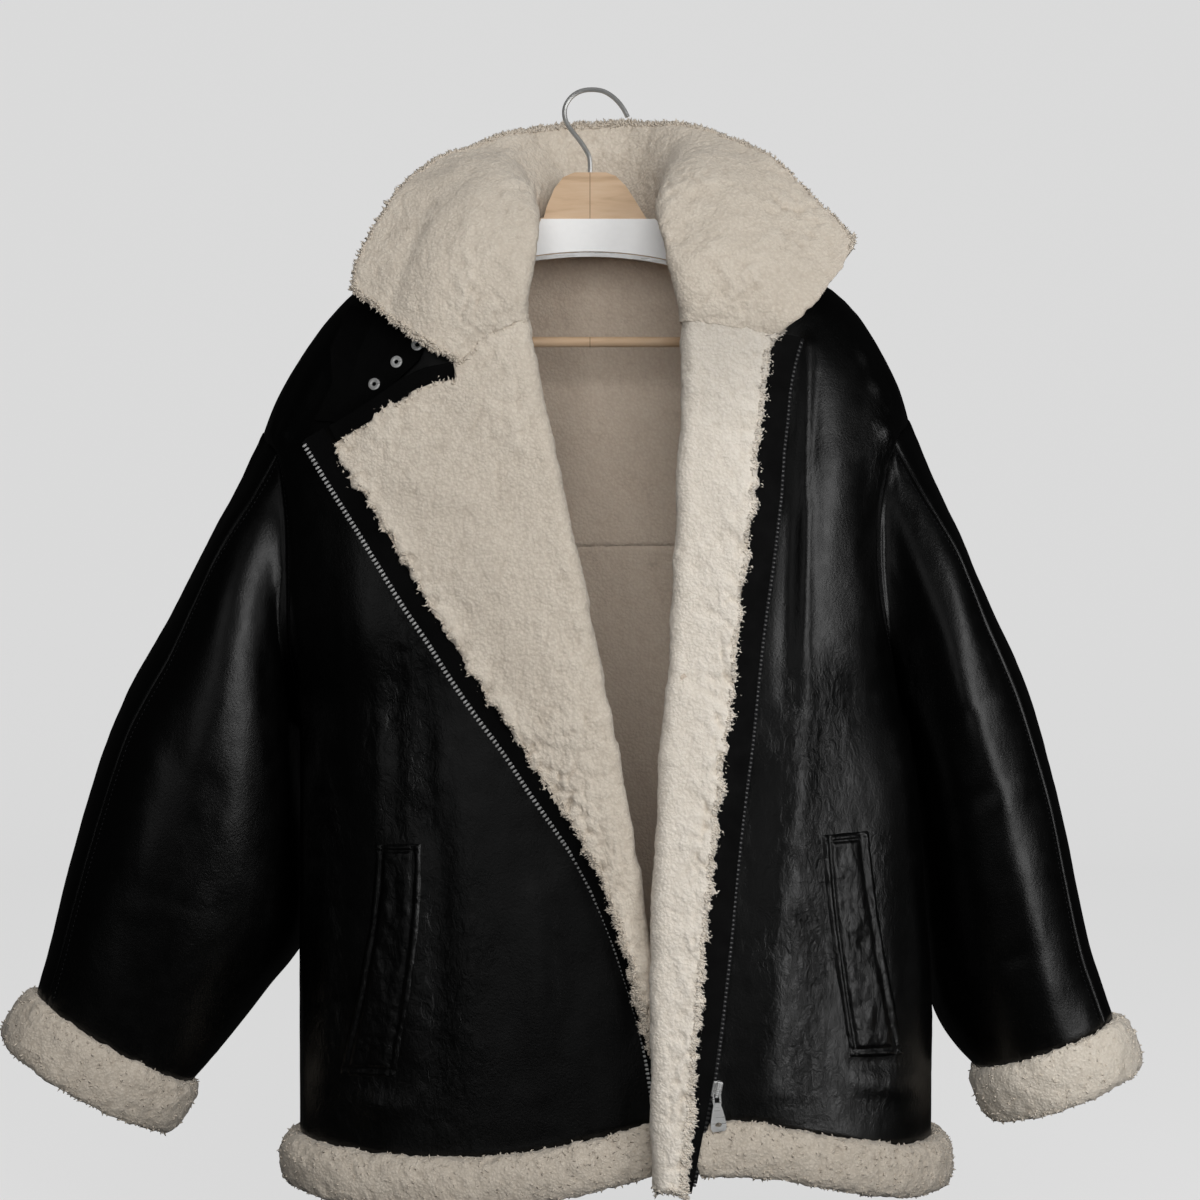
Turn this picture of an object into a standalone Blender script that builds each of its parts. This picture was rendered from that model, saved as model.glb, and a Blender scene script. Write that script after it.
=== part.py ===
"""Sheepskin flying jacket hanging open on a wooden hanger.

Metres, +Z up. The jacket faces -Y. "Right" and "left" are the wearer's.
The origin is the inside of the hook's top, where it rests.
Tables are in millimetres.
"""

import math

import bmesh
import bpy
import numpy as np
from mathutils import Matrix, Vector

for old in list(bpy.data.objects):
    bpy.data.objects.remove(old, do_unlink=True)

MM = 0.001

# ---- driving sizes, in millimetres
WALL = 6.0            # shearling: leather with its short wool
SEAM_GAP = 1.00       # between two pieces at a seam
FOLD_RADIUS = 6.5     # middle of the wall where a front turns back
STRIP_WIDTH_RIGHT = 17.0
STRIP_WIDTH_LEFT = 20.0
STRIP_THICK = 1.4
WELT_THICK = 2.4
ZIP_WIDTH, ZIP_THICK = 5.0, 2.4
FUR_HEM_HEIGHT, FUR_HEM_HALF, FUR_HEM_OUT = 38.0, 13.0, 6.0
FUR_CUFF_HEIGHT, FUR_CUFF_HALF, FUR_CUFF_OUT = 43.0, 9.5, 4.0
NOTCH = 0.27          # where the lapel's top edge leaves the collar, along the first row
HEM_RISE = 28.0       # how far the left front's hem rises towards the middle
YOKE_ROW = 7.65       # the back's cross seam
SLEEVE_SEAM = 0.10    # the sleeve's outer seam, as a share of the way round from the top


def spline(keys, values, at):
    """Smooth curve through (keys, values), read at `at`."""
    keys, values, at = np.asarray(keys, float), np.asarray(values, float), np.asarray(at, float)
    step = np.diff(keys)
    slope = np.diff(values) / step
    tangent = np.empty_like(values)
    tangent[0], tangent[-1] = slope[0], slope[-1]
    tangent[1:-1] = (slope[:-1] * step[1:] + slope[1:] * step[:-1]) / (step[:-1] + step[1:])
    i = np.clip(np.searchsorted(keys, at, side="right") - 1, 0, len(step) - 1)
    h = step[i]
    s = (at - keys[i]) / h
    return (
        (2 * s**3 - 3 * s**2 + 1) * values[i]
        + (s**3 - 2 * s**2 + s) * h * tangent[i]
        + (3 * s**2 - 2 * s**3) * values[i + 1]
        + (s**3 - s**2) * h * tangent[i + 1]
    )


class Table:
    """Rows of named sizes. The first column is the key; at() reads a column between rows."""

    def __init__(self, columns, rows):
        self.columns = columns.split()
        self.rows = np.array(rows, float)

    def at(self, key, name):
        return spline(self.rows[:, 0], self.rows[:, self.columns.index(name)], key)

    def point(self, key, *names):
        return np.array([self.at(key, name) for name in names])


def smooth(x):
    x = min(max(x, 0.0), 1.0)
    return x * x * (3 - 2 * x)


# ---- fronts: a row for each cross-section, from the neck (0) over the shoulder,
# down the armhole (5 to 10) and the side seam (10 to 16) to the hem.
# out: shoulder line, armhole or side seam, with the front's and the back's y there
# roll: where the front turns back, its visible outermost line
# edge: the end of the turned-back flap; sag: how far the row hangs below straight
FRONT_COLUMNS = "row out_x out_z out_yf out_yb roll_x roll_z roll_y edge_x edge_z edge_y sag"
RIGHT = Table(FRONT_COLUMNS, [
    (0, -76, -104, 0, 0, -50, -193, -78, -220, -283, -80, 0),
    (1, -128, -130, 0, 0, -47, -211, -80, -200, -316, -86, 0),
    (2, -167, -148, -1, -1, -43, -232, -83, -177, -352, -93, 0),
    (3, -197, -171, -2, -2, -39, -253, -85, -158, -383, -99, 0),
    (4, -231, -216, -4, -4, -35, -273, -87, -140, -412, -101, 0),
    (5, -258, -271, -6, -6, -31, -290, -89, -123, -437, -103, 0),
    (6, -245, -291, -38, 34, -26, -311, -91, -108, -461, -104, 0),
    (7, -238, -334, -50, 50, -20, -339, -93, -89, -489, -106, 0),
    (8, -236, -382, -52, 54, -12, -377, -96, -66, -520, -108, 0),
    (9, -235, -438, -42, 46, -2, -423, -98, -47, -549, -109, 0),
    (10, -232, -492, 8, 8, 7, -469, -99, -27, -578, -109, 0),
    (11, -230, -542, -10, -10, 16, -514, -100, -10, -604, -109, 0),
    (12, -230, -606, -8, -8, 26, -571, -100, 9, -643, -109, 0),
    (13, -230, -669, -8, -8, 38, -628, -100, 23, -681, -109, 3),
    (14, -230, -733, -8, -8, 46, -683, -100, 34, -717, -109, 7),
    (15, -230, -789, -8, -8, 63, -746, -100, 44, -755, -109, 12),
    (16, -230, -830, -8, -8, 75, -804, -100, 52, -804, -109, 18),
])
LEFT = Table(FRONT_COLUMNS, [
    (0, 80, -104, 0, 0, 70, -193, -80, 160, -205, -84, 0),
    (1, 133, -128, 0, 0, 70, -215, -83, 154, -226, -88, 0),
    (2, 176, -152, -1, -1, 70, -238, -86, 150, -247, -91, 0),
    (3, 205, -175, -2, -2, 70, -261, -88, 148, -269, -94, 0),
    (4, 230, -214, -4, -4, 69, -284, -90, 145, -293, -98, 0),
    (5, 249, -261, -6, -6, 67, -311, -93, 143, -323, -101, 0),
    (6, 235, -281, -38, 34, 67, -338, -95, 140, -349, -104, 0),
    (7, 225, -326, -50, 50, 65, -368, -97, 136, -382, -107, 0),
    (8, 224, -379, -54, 54, 63, -406, -100, 130, -423, -110, 0),
    (9, 230, -434, -42, 46, 60, -448, -103, 125, -467, -113, 0),
    (10, 242, -482, 8, 8, 56, -494, -107, 120, -516, -117, 0),
    (11, 250, -534, -10, -10, 53, -539, -111, 114, -561, -121, 0),
    (12, 258, -598, -8, -8, 50, -591, -116, 108, -614, -126, 0),
    (13, 264, -661, -8, -8, 48, -644, -120, 103, -666, -130, 2),
    (14, 268, -725, -8, -8, 46, -696, -123, 98, -710, -133, 4),
    (15, 268, -781, -8, -8, 46, -759, -125, 91, -764, -135, 3),
    (16, 268, -830, -8, -8, 48, -850, -125, 74, -851, -136, 0),
])
# the back's depth down its middle, and how far each row dips there
BACK = Table("row deep dip", [
    (0, 45, 23), (1, 52, 20), (2, 56, 16), (3, 60, 11), (4, 63, 5), (5, 66, 1),
    (6, 68, 0), (8, 72, 0), (10, 76, 0), (12, 80, 0), (14, 82, 2), (16, 84, 6),
])
# ---- sleeves: along the sleeve from the armhole (0) to the cuff (1).
# out: the outer edge, in: the underarm edge, front and back: half depths
SLEEVE_COLUMNS = "along out_x out_z out_y in_x in_z in_y front back"
SLEEVE_RIGHT = Table(SLEEVE_COLUMNS, [
    (0.00, -258, -271, -6, -232, -492, 8, 52, 52),
    (0.06, -267, -291, -6, -243, -502, 16, 57, 53),
    (0.15, -281, -320, -6, -241, -530, 34, 73, 50),
    (0.30, -302, -359, -6, -234, -582, 48, 90, 46),
    (0.45, -338, -432, -6, -232, -637, 54, 94, 44),
    (0.60, -374, -494, -6, -237, -681, 48, 88, 43),
    (0.75, -405, -590, -6, -263, -716, 36, 76, 42),
    (0.90, -428, -678, -6, -299, -762, 22, 60, 42),
    (1.00, -440, -721, -6, -325, -792, 10, 48, 40),
])
SLEEVE_LEFT = Table(SLEEVE_COLUMNS, [
    (0.00, 249, -261, -6, 246, -479, 8, 54, 54),
    (0.06, 257, -279, -6, 256, -489, 16, 57, 53),
    (0.15, 268, -307, -6, 262, -519, 34, 73, 50),
    (0.30, 288, -351, -6, 263, -573, 48, 90, 46),
    (0.45, 310, -404, -6, 267, -634, 54, 94, 44),
    (0.60, 337, -462, -6, 272, -692, 48, 88, 43),
    (0.75, 367, -558, -6, 280, -736, 38, 76, 42),
    (0.90, 391, -674, -6, 297, -765, 22, 60, 42),
    (1.00, 413, -740, -6, 313, -781, 10, 48, 40),
])
# ---- collar: a row for each section from the right front's notch (0) round the back
# of the neck (3) to the left front's notch (6). Each section runs from the neck seam
# through turn (where it rolls over), leaf (middle) and rim (outer edge).
COLLAR = Table("station turn_x turn_y turn_z leaf_x leaf_y leaf_z rim_x rim_y rim_z", [
    (0.00, -112, -93, -218, -132, -92, -207, -186, -62, -166),
    (0.50, -92, -93, -192, -119, -90, -172, -178, -52, -133),
    (1.00, -60, -94, -166, -98, -78, -128, -153, -28, -87),
    (1.50, -49, -82, -142, -87, -54, -92, -126, -2, -58),
    (2.00, -48, -50, -106, -65, -18, -66, -94, 12, -44),
    (2.25, -53, -10, -95, -58, 14, -58, -68, 32, -30),
    (2.50, -40, 18, -85, -40, 40, -52, -46, 50, -22),
    (3.00, 0, 53, -91, 0, 57, -53, 0, 62, -16),
    (3.50, 50, 29, -87, 46, 40, -52, 48, 52, -17),
    (3.75, 61, -8, -94, 62, 12, -56, 72, 36, -22),
    (4.00, 56, -50, -104, 72, -18, -62, 98, 24, -31),
    (4.50, 63, -82, -140, 104, -54, -96, 141, -2, -55),
    (5.00, 76, -94, -166, 114, -78, -132, 177, -32, -96),
    (5.50, 108, -94, -184, 137, -90, -168, 202, -52, -124),
    (6.00, 148, -93, -196, 166, -90, -182, 203, -60, -134),
])


def side_point(table, row, face):
    """Where a front or the back ends: one seam for both, but two edges round the armhole (rows 5 to 10)."""
    x, z, front, back = table.point(row, "out_x", "out_z", "out_yf", "out_yb")
    if 5 < row < 10:
        return np.array([x, front if face == "front" else back, z])
    return np.array([x, (front + back) / 2, z])


def front_point(table, side, row, part, share):
    """A point on a front's middle surface. side: -1 right front, +1 left front.

    part "body": share 0 at the shoulder, armhole or side seam, 1 where the turn starts.
    part "turn": share 0 to 1 round the half turn.
    part "flap": share 0 at the turn, 1 at the free edge.
    """
    def start(r):
        roll = table.point(r, "roll_x", "roll_z")
        return roll + np.array([side * (WALL / 2 + FOLD_RADIUS), 0.0])

    depth = float(table.at(row, "roll_y"))
    a = start(row)
    along = start(min(row + 0.05, 16)) - start(max(row - 0.05, 0))
    along /= np.linalg.norm(along)
    across = np.array([-along[1], along[0]]) * -side
    if part == "body":
        x, yf, z = side_point(table, row, "front")
        rise = (1 - (1 - share) ** 2.3) ** (1 / 2.3)
        sag = float(table.at(row, "sag")) * math.sin(math.pi * min(share / 0.96, 1.0))
        if side > 0:
            drop = smooth((share - 0.84) / 0.16)
            hem = smooth((row - 15) / 1.0)
            level = z + HEM_RISE * smooth(share / 0.8)
            zz = (z + (a[1] - z) * share) * (1 - hem) + (level + (a[1] - level) * drop) * hem
        else:
            zz = z + (a[1] - z) * share
        return np.array([x + (a[0] - x) * share, yf + (depth - yf) * rise, zz - sag])
    if part == "turn":
        angle = math.pi * share
        out = a + across * FOLD_RADIUS * math.sin(angle)
        return np.array([out[0], depth - FOLD_RADIUS * (1 - math.cos(angle)), out[1]])
    first = np.array([a[0], depth - 2 * FOLD_RADIUS, a[1]])
    last = table.point(row, "edge_x", "edge_y", "edge_z")
    p = first + (last - first) * share
    # the lapel's top edge dips at the notch and rises beyond it
    if row < 1.6 and side < 0:
        bend = (1 - row / 1.6) ** 2
        p[2] += bend * (5.0 * math.exp(-(((share - 0.52) / 0.13) ** 2)) - 7.0 * math.exp(-(((share - 0.25) / 0.1) ** 2)))
    puff = 4.0 * math.sin(math.pi * share) * min(1.0, np.linalg.norm(last - first) / 90)
    p[1] -= puff
    return p


def back_point(row, share):
    left = side_point(RIGHT, row, "back")
    right = side_point(LEFT, row, "back")
    p = left + (right - left) * share
    rise = (1 - abs(2 * share - 1) ** 2.4) ** (1 / 2.4)
    p[1] += (float(BACK.at(row, "deep")) - p[1]) * rise
    p[2] -= float(BACK.at(row, "dip")) * math.sin(math.pi * share)
    return p


def sleeve_point(sleeve, front, along, turn):
    """turn 0 at the sleeve's outer edge, 0.25 in front, 0.5 under the arm, 0.75 behind."""
    def oval(t):
        out = sleeve.point(t, "out_x", "out_y", "out_z")
        under = sleeve.point(t, "in_x", "in_y", "in_z")
        s = math.sin(2 * math.pi * turn)
        half = float(sleeve.at(t, "front" if s > 0 else "back"))
        p = (out + under) / 2 + (out - under) / 2 * math.cos(2 * math.pi * turn)
        p[1] -= half * s
        return p

    t = turn % 1.0
    row = 5 + 10 * t if t <= 0.5 else 5 + 10 * (1 - t)
    hole = side_point(front, row, "front" if t <= 0.5 else "back")
    return oval(along) + (hole - oval(0)) * (1 - smooth(along / 0.35))


def neck_point(station):
    """The neck edge that the collar is sewn to, by the collar's station."""
    table, side, s = (RIGHT, -1, station) if station <= 3 else (LEFT, 1, 6 - station)
    if s <= 0.85:
        return front_point(table, side, 0, "flap", (NOTCH if side < 0 else 0.72) * (1 - s / 0.85))
    if s <= 1.15:
        return front_point(table, side, 0, "turn", 1 - (s - 0.85) / 0.3)
    if s < 2:
        return front_point(table, side, 0, "body", 1 - (s - 1.15) / 0.85)
    return back_point(0, (station - 2) / 2)


def collar_point(station, share):
    curve = np.array([
        neck_point(station),
        COLLAR.point(station, "turn_x", "turn_y", "turn_z"),
        COLLAR.point(station, "leaf_x", "leaf_y", "leaf_z"),
        COLLAR.point(station, "rim_x", "rim_y", "rim_z"),
    ])
    return np.array([spline((0, 0.3, 0.62, 1), curve[:, i], share) for i in range(3)])


def grid(function, rows, columns):
    return np.array([[function(r, c) for c in columns] for r in rows])


def normals(points, flip):
    along = np.gradient(points, axis=0)
    across = np.gradient(points, axis=1)
    n = np.cross(along, across)
    n /= np.maximum(np.linalg.norm(n, axis=2, keepdims=True), 1e-9)
    return -n if flip else n


class Piece:
    """A cut piece: a grid of points on its middle surface, and the directions to its leather side."""

    def __init__(self, points, flip):
        self.points = points.copy()
        self.normals = normals(points, flip)
        self.reach = np.ones((*points.shape[:2], 2))  # how far each face stands off, over half the wall

    def border(self):
        rows, columns = self.points.shape[:2]
        for r in range(rows):
            for c in range(columns):
                if r in (0, rows - 1) or c in (0, columns - 1):
                    yield r, c


def sew(pieces):
    """Where pieces share border points: one common direction, and a small gap between them."""
    shared = {}
    for piece in pieces:
        for r, c in piece.border():
            key = tuple(np.round(piece.points[r, c], 3))
            shared.setdefault(key, []).append((piece, r, c))
    moves = []
    for found in shared.values():
        if len({id(piece) for piece, _, _ in found}) < 2:
            continue
        mean = sum(piece.normals[r, c] for piece, r, c in found)
        mean /= np.linalg.norm(mean)
        # in a crease the faces meet further out than half the wall
        deep = 1 / max(min(mean.dot(piece.normals[r, c]) for piece, r, c in found), 0.36)
        lean = 0.0
        for piece, r, c in found:
            rows, columns = piece.points.shape[:2]
            inward = np.zeros(3)
            for nr, nc, on_edge in (
                (r + 1, c, r == 0), (r - 1, c, r == rows - 1),
                (r, c + 1, c == 0), (r, c - 1, c == columns - 1),
            ):
                if on_edge:
                    step = piece.points[nr, nc] - piece.points[r, c]
                    lean += step.dot(mean) / np.linalg.norm(step)
                    step = step - mean * step.dot(mean)
                    inward += step / np.linalg.norm(step)
            moves.append((piece, r, c, mean, inward * deep**2))
        for piece, r, c in found:
            piece.reach[r, c] = (deep, 1.0) if lean > 0 else (1.0, deep)
    for piece, r, c, mean, inward in moves:
        piece.normals[r, c] = mean
        piece.points[r, c] += inward * SEAM_GAP / 2


# ---- making objects

collection = bpy.data.collections.new("flying_jacket_on_hanger")
bpy.context.scene.collection.children.link(collection)
cutters = bpy.data.collections.new("cutters")
bpy.context.scene.collection.children.link(cutters)


def material(name, colour, roughness, metallic=0.0):
    made = bpy.data.materials.new(name)
    made.use_nodes = True
    shader = made.node_tree.nodes["Principled BSDF"]
    shader.inputs["Base Color"].default_value = (*colour, 1.0)
    shader.inputs["Roughness"].default_value = roughness
    shader.inputs["Metallic"].default_value = metallic
    return made


BLACK_LEATHER = ((0.008, 0.008, 0.009), 0.38)
MATT_LEATHER = ((0.012, 0.012, 0.013), 0.62)
WOOL = ((0.58, 0.50, 0.42), 0.95)
BEECH = ((0.68, 0.48, 0.30), 0.5)
WHITE = ((0.85, 0.85, 0.84), 0.45)
STEEL = ((0.62, 0.62, 0.63), 0.28, 1.0)


def add_object(name, mesh, finish, home=None):
    obj = bpy.data.objects.new(name, mesh)
    (home or collection).objects.link(obj)
    obj.data.materials.clear()
    obj.data.materials.append(material(name, *finish))
    return obj


def add_solid(name, bm, finish, home=None):
    bmesh.ops.recalc_face_normals(bm, faces=bm.faces)
    if bm.calc_volume(signed=True) < 0:
        bmesh.ops.reverse_faces(bm, faces=bm.faces)
    mesh = bpy.data.meshes.new(name)
    bm.to_mesh(mesh)
    bm.free()
    mesh.shade_smooth()
    mesh.set_sharp_from_angle(angle=math.radians(40))
    return add_object(name, mesh, finish, home)


def loft(bm, rings, close_rings, close_path):
    """Skin of quads over rings of points, in millimetres, with end caps on an open path."""
    made = [[bm.verts.new(Vector(p) * MM) for p in ring] for ring in rings]
    count = len(made[0])
    steps = range(len(made) if close_path else len(made) - 1)
    for i in steps:
        a, b = made[i], made[(i + 1) % len(made)]
        for j in range(count if close_rings else count - 1):
            k = (j + 1) % count
            bm.faces.new((a[j], a[k], b[k], b[j]))
    if close_rings and not close_path:
        bm.faces.new(made[0])
        bm.faces.new(made[-1][::-1])
    return made


def add_wall(name, points, directions, thickness, finish, reach=None):
    """A wall of even thickness about a grid of points: one face along the directions, the other against them."""
    reach = np.ones((*points.shape[:2], 2)) if reach is None else reach
    outer = points + directions * reach[..., :1] * thickness / 2
    inner = points - directions * reach[..., 1:] * thickness / 2
    rows, columns = points.shape[:2]
    bm = bmesh.new()
    face_a = [[bm.verts.new(Vector(p) * MM) for p in row] for row in outer]
    face_b = [[bm.verts.new(Vector(p) * MM) for p in row] for row in inner]
    for r in range(rows - 1):
        for c in range(columns - 1):
            bm.faces.new((face_a[r][c], face_a[r][c + 1], face_a[r + 1][c + 1], face_a[r + 1][c]))
            bm.faces.new((face_b[r][c], face_b[r + 1][c], face_b[r + 1][c + 1], face_b[r][c + 1]))
    edge = (
        [(0, c) for c in range(columns)]
        + [(r, columns - 1) for r in range(1, rows)]
        + [(rows - 1, c) for c in range(columns - 2, -1, -1)]
        + [(r, 0) for r in range(rows - 2, 0, -1)]
    )
    for (r0, c0), (r1, c1) in zip(edge, edge[1:] + edge[:1]):
        bm.faces.new((face_a[r0][c0], face_b[r0][c0], face_b[r1][c1], face_a[r1][c1]))
    return add_solid(name, bm, finish)


def add_piece(name, piece, thickness, finish):
    return add_wall(name, piece.points, piece.normals, thickness, finish, piece.reach)


def oval_section(half_a, half_b, count, power=2.6):
    found = []
    for i in range(count):
        angle = 2 * math.pi * (i + 0.5) / count
        c, s = math.cos(angle), math.sin(angle)
        found.append((half_a * math.copysign(abs(c) ** (2 / power), c), half_b * math.copysign(abs(s) ** (2 / power), s)))
    return found


def add_sweep(name, centres, dirs_a, dirs_b, sections, finish, closed=False):
    rings = [
        [centre + a * s + b * t for s, t in section]
        for centre, a, b, section in zip(centres, dirs_a, dirs_b, sections)
    ]
    bm = bmesh.new()
    loft(bm, rings, True, closed)
    return add_solid(name, bm, finish)


def unit(v):
    return v / np.linalg.norm(v)


# ---- rows and columns

ROWS = [0, 0.6, 1.3, 2.1, 3, 4, 5, 5.35, 6, 6.7, YOKE_ROW, 8.4, 9, 9.6, 10, 10.6, 11.6, 12.8, 14, 15, 16]
BODY_SHARES = [0, 0.035, 0.1, 0.2, 0.33, 0.5, 0.68, 0.85, 1.0]
TURN_SHARES = [0.25, 0.5, 0.75]
BACK_SHARES = [0, 0.02, 0.06, 0.13, 0.24, 0.37, 0.5, 0.63, 0.76, 0.87, 0.94, 0.98, 1]
ALONG = [0, 0.06, 0.15, 0.3, 0.45, 0.6, 0.75, 0.9, 1]


def flap_shares(table, side, row, strip_width):
    """Shares along the flap: the last step is the width of the edge strip."""
    length = np.linalg.norm(front_point(table, side, row, "flap", 1) - front_point(table, side, row, "flap", 0))
    last = 1 - min(strip_width / length, 0.42)
    notch = NOTCH if side < 0 else 0.72
    return [0, notch * 0.5 * last / 0.9, notch * last / 0.9, (notch * last / 0.9 + last) / 2, last, 1]


def front_grid(table, side, strip_width):
    rows = []
    for row in ROWS:
        if row == 0:
            n = NOTCH if side < 0 else 0.72
            length = np.linalg.norm(front_point(table, side, 0, "flap", 1) - front_point(table, side, 0, "flap", 0))
            last = 1 - min(strip_width / length, 0.2)
            flap = [0, n / 2, n, (n + last) / 2, last, 1]
        else:
            flap = flap_shares(table, side, row, strip_width)
        rows.append(
            [front_point(table, side, row, "body", s) for s in BODY_SHARES]
            + [front_point(table, side, row, "turn", s) for s in TURN_SHARES]
            + [front_point(table, side, row, "flap", s) for s in flap]
        )
    return np.array(rows)


body_end = len(BODY_SHARES)
flap_start = body_end + len(TURN_SHARES)
yoke = ROWS.index(YOKE_ROW)

front_right = Piece(front_grid(RIGHT, -1, STRIP_WIDTH_RIGHT), flip=False)
front_left = Piece(front_grid(LEFT, 1, STRIP_WIDTH_LEFT), flip=True)
back_grid = grid(back_point, ROWS, BACK_SHARES)
back_yoke = Piece(back_grid[: yoke + 1], flip=True)
back_lower = Piece(back_grid[yoke:], flip=True)

around = [(r - 5) / 10 for r in ROWS if 5 <= r <= 10]
ring_front = [t for t in around if t >= SLEEVE_SEAM - 1e-6]
ring_back = [1 - t for t in reversed(around)] + [1 + t for t in around if 0 < t <= SLEEVE_SEAM + 1e-6]


def sleeve_piece(sleeve, front, turns, flip):
    return Piece(grid(lambda along, turn: sleeve_point(sleeve, front, along, turn), ALONG, turns), flip)


sleeve_right_front = sleeve_piece(SLEEVE_RIGHT, RIGHT, ring_front, False)
sleeve_right_back = sleeve_piece(SLEEVE_RIGHT, RIGHT, ring_back, False)
sleeve_left_front = sleeve_piece(SLEEVE_LEFT, LEFT, ring_front, True)
sleeve_left_back = sleeve_piece(SLEEVE_LEFT, LEFT, ring_back, True)

half_stations = (
    [0, 0.425, 0.85]
    + [0.85 + 0.3 * (1 - s) for s in reversed(TURN_SHARES)]
    + [1.15 + 0.85 * (1 - s) for s in reversed(BODY_SHARES)]
)
stations = half_stations[:-1] + [2 + 2 * s for s in BACK_SHARES] + [6 - s for s in reversed(half_stations[:-1])]
collar = Piece(grid(collar_point, stations, [0, 0.12, 0.3, 0.46, 0.62, 0.8, 1]), flip=True)

pieces = {
    "front_right": front_right,
    "front_left": front_left,
    "back_yoke": back_yoke,
    "back_lower": back_lower,
    "sleeve_right_front": sleeve_right_front,
    "sleeve_right_back": sleeve_right_back,
    "sleeve_left_front": sleeve_left_front,
    "sleeve_left_back": sleeve_left_back,
    "collar": collar,
}
sew(list(pieces.values()))
for name, piece in pieces.items():
    add_piece(name, piece, WALL, WOOL if name == "collar" else BLACK_LEATHER)


# ---- fur rolls

def hem_sections(count, fat):
    return [[(a * f + FUR_HEM_OUT * f, b) for a, b in oval_section(FUR_HEM_HALF, FUR_HEM_HEIGHT / 2, 8)] for f in fat(count)]


def hem_trim(name, piece, columns, fat):
    points = piece.points[-1, columns].copy()
    out = piece.normals[-1, columns].copy()
    out[:, 2] = 0
    out /= np.linalg.norm(out, axis=1, keepdims=True)
    down = np.tile(np.array([0.0, 0.0, -1.0]), (len(points), 1))
    centres = points + down * (FUR_HEM_HEIGHT / 2 + 1.0)
    add_sweep(name, centres, out, down, hem_sections(len(points), fat), WOOL)


hem_columns_right = list(range(0, body_end))
hem_columns_left = list(range(0, body_end - 1))
hem_trim("hem_trim_right", front_right, hem_columns_right, lambda n: [1 - 0.5 * smooth((BODY_SHARES[i] - 0.7) / 0.25) for i in range(n)])
hem_trim("hem_trim_left", front_left, hem_columns_left, lambda n: [1 - 0.25 * smooth((BODY_SHARES[i] - 0.5) / 0.2) for i in range(n)])
hem_trim("hem_trim_back", back_lower, list(range(len(BACK_SHARES))), lambda n: [1.0] * n)


def cuff(name, front_piece, back_piece, sleeve):
    ring = np.concatenate([front_piece.points[-1, :-1], back_piece.points[-1, :-1]])
    out = np.concatenate([front_piece.normals[-1, :-1], back_piece.normals[-1, :-1]])
    h = sleeve.point(1, "out_x", "out_y", "out_z") - sleeve.point(1, "in_x", "in_y", "in_z")
    axis = unit(np.cross(h, np.array([0.0, 1.0, 0.0])))
    if axis[2] > 0:
        axis = -axis
    out = out - np.outer(out @ axis, axis)
    out /= np.linalg.norm(out, axis=1, keepdims=True)
    section = [(a + FUR_CUFF_OUT, b) for a, b in oval_section(FUR_CUFF_HALF, FUR_CUFF_HEIGHT / 2, 8)]
    centres = ring + axis * (FUR_CUFF_HEIGHT / 2 + 1.4)
    add_sweep(name, centres, out, np.tile(axis, (len(ring), 1)), [section] * len(ring), WOOL, closed=True)


cuff("cuff_right", sleeve_right_front, sleeve_right_back, SLEEVE_RIGHT)
cuff("cuff_left", sleeve_left_front, sleeve_left_back, SLEEVE_LEFT)


# ---- leather strips along the turned-back edges, on the wool side

def edge_strip(name, piece):
    points, out = piece.points[:, -2:], piece.normals[:, -2:]
    add_wall(name, points - out * (WALL / 2 + 0.3 + STRIP_THICK / 2), out, STRIP_THICK, MATT_LEATHER)


edge_strip("edge_strip_right", front_right)
edge_strip("edge_strip_left", front_left)


def on_flap(row, share):
    p = front_point(RIGHT, -1, row, "flap", share)
    a = front_point(RIGHT, -1, row + 0.05, "flap", share) - p
    b = front_point(RIGHT, -1, row, "flap", share + 0.01) - p
    return p, unit(np.cross(a, b))


def lapel_top_strip():
    width, shares = 13.0, np.linspace(NOTCH + 0.01, 0.885, 6)
    points, out = [], []
    for share in shares:
        first, n0 = on_flap(0.02, share)
        row = 0.3
        for _ in range(6):
            there = front_point(RIGHT, -1, row, "flap", share)
            row *= width / np.linalg.norm(there - first)
        second, n1 = on_flap(row, share)
        points.append([first, second])
        out.append([n0, n1])
    points, out = np.array(points), np.array(out)
    facing = np.where(out[..., 1:2] > 0, -1.0, 1.0) * out
    add_wall("lapel_top_strip", points + facing * (WALL / 2 + 0.9 + STRIP_THICK / 2), facing, STRIP_THICK, MATT_LEATHER)


lapel_top_strip()


# ---- pieces that lie on a front: found by their x and z, moved out

def on_front(table, side, x, z):
    row, share = 8.0, 0.5
    for _ in range(40):
        p = front_point(table, side, row, "body", share)
        dr = front_point(table, side, row + 0.02, "body", share) - p
        ds = front_point(table, side, row, "body", share + 0.004) - p
        jac = np.array([[dr[0] / 0.02, ds[0] / 0.004], [dr[2] / 0.02, ds[2] / 0.004]])
        step = np.linalg.solve(jac, np.array([x - p[0], z - p[2]]))
        row = min(max(row + np.clip(step[0], -1.5, 1.5), 0.0), 15.9)
        share = min(max(share + np.clip(step[1], -0.2, 0.2), 0.004), 0.99)
    n = unit(np.cross(dr, ds))
    return p, n if n[1] < 0 else -n


def patch(name, table, side, corners, rows, columns, lift, thick, finish):
    """A thin piece over a four-cornered outline: corners as (x, z) rows from top to bottom, left and right."""
    corners = np.array(corners, float)
    points, out = [], []
    for r in np.linspace(0, len(corners) - 1, rows):
        i = min(int(r), len(corners) - 2)
        left, right = corners[i] + (corners[i + 1] - corners[i]) * (r - i)
        found = [on_front(table, side, *(left + (right - left) * s)) for s in np.linspace(0, 1, columns)]
        points.append([p for p, _ in found])
        out.append([n for _, n in found])
    points, out = np.array(points), np.array(out)
    add_wall(name, points + out * (WALL / 2 + lift + thick / 2), out, thick, finish)
    return points, out


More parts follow.
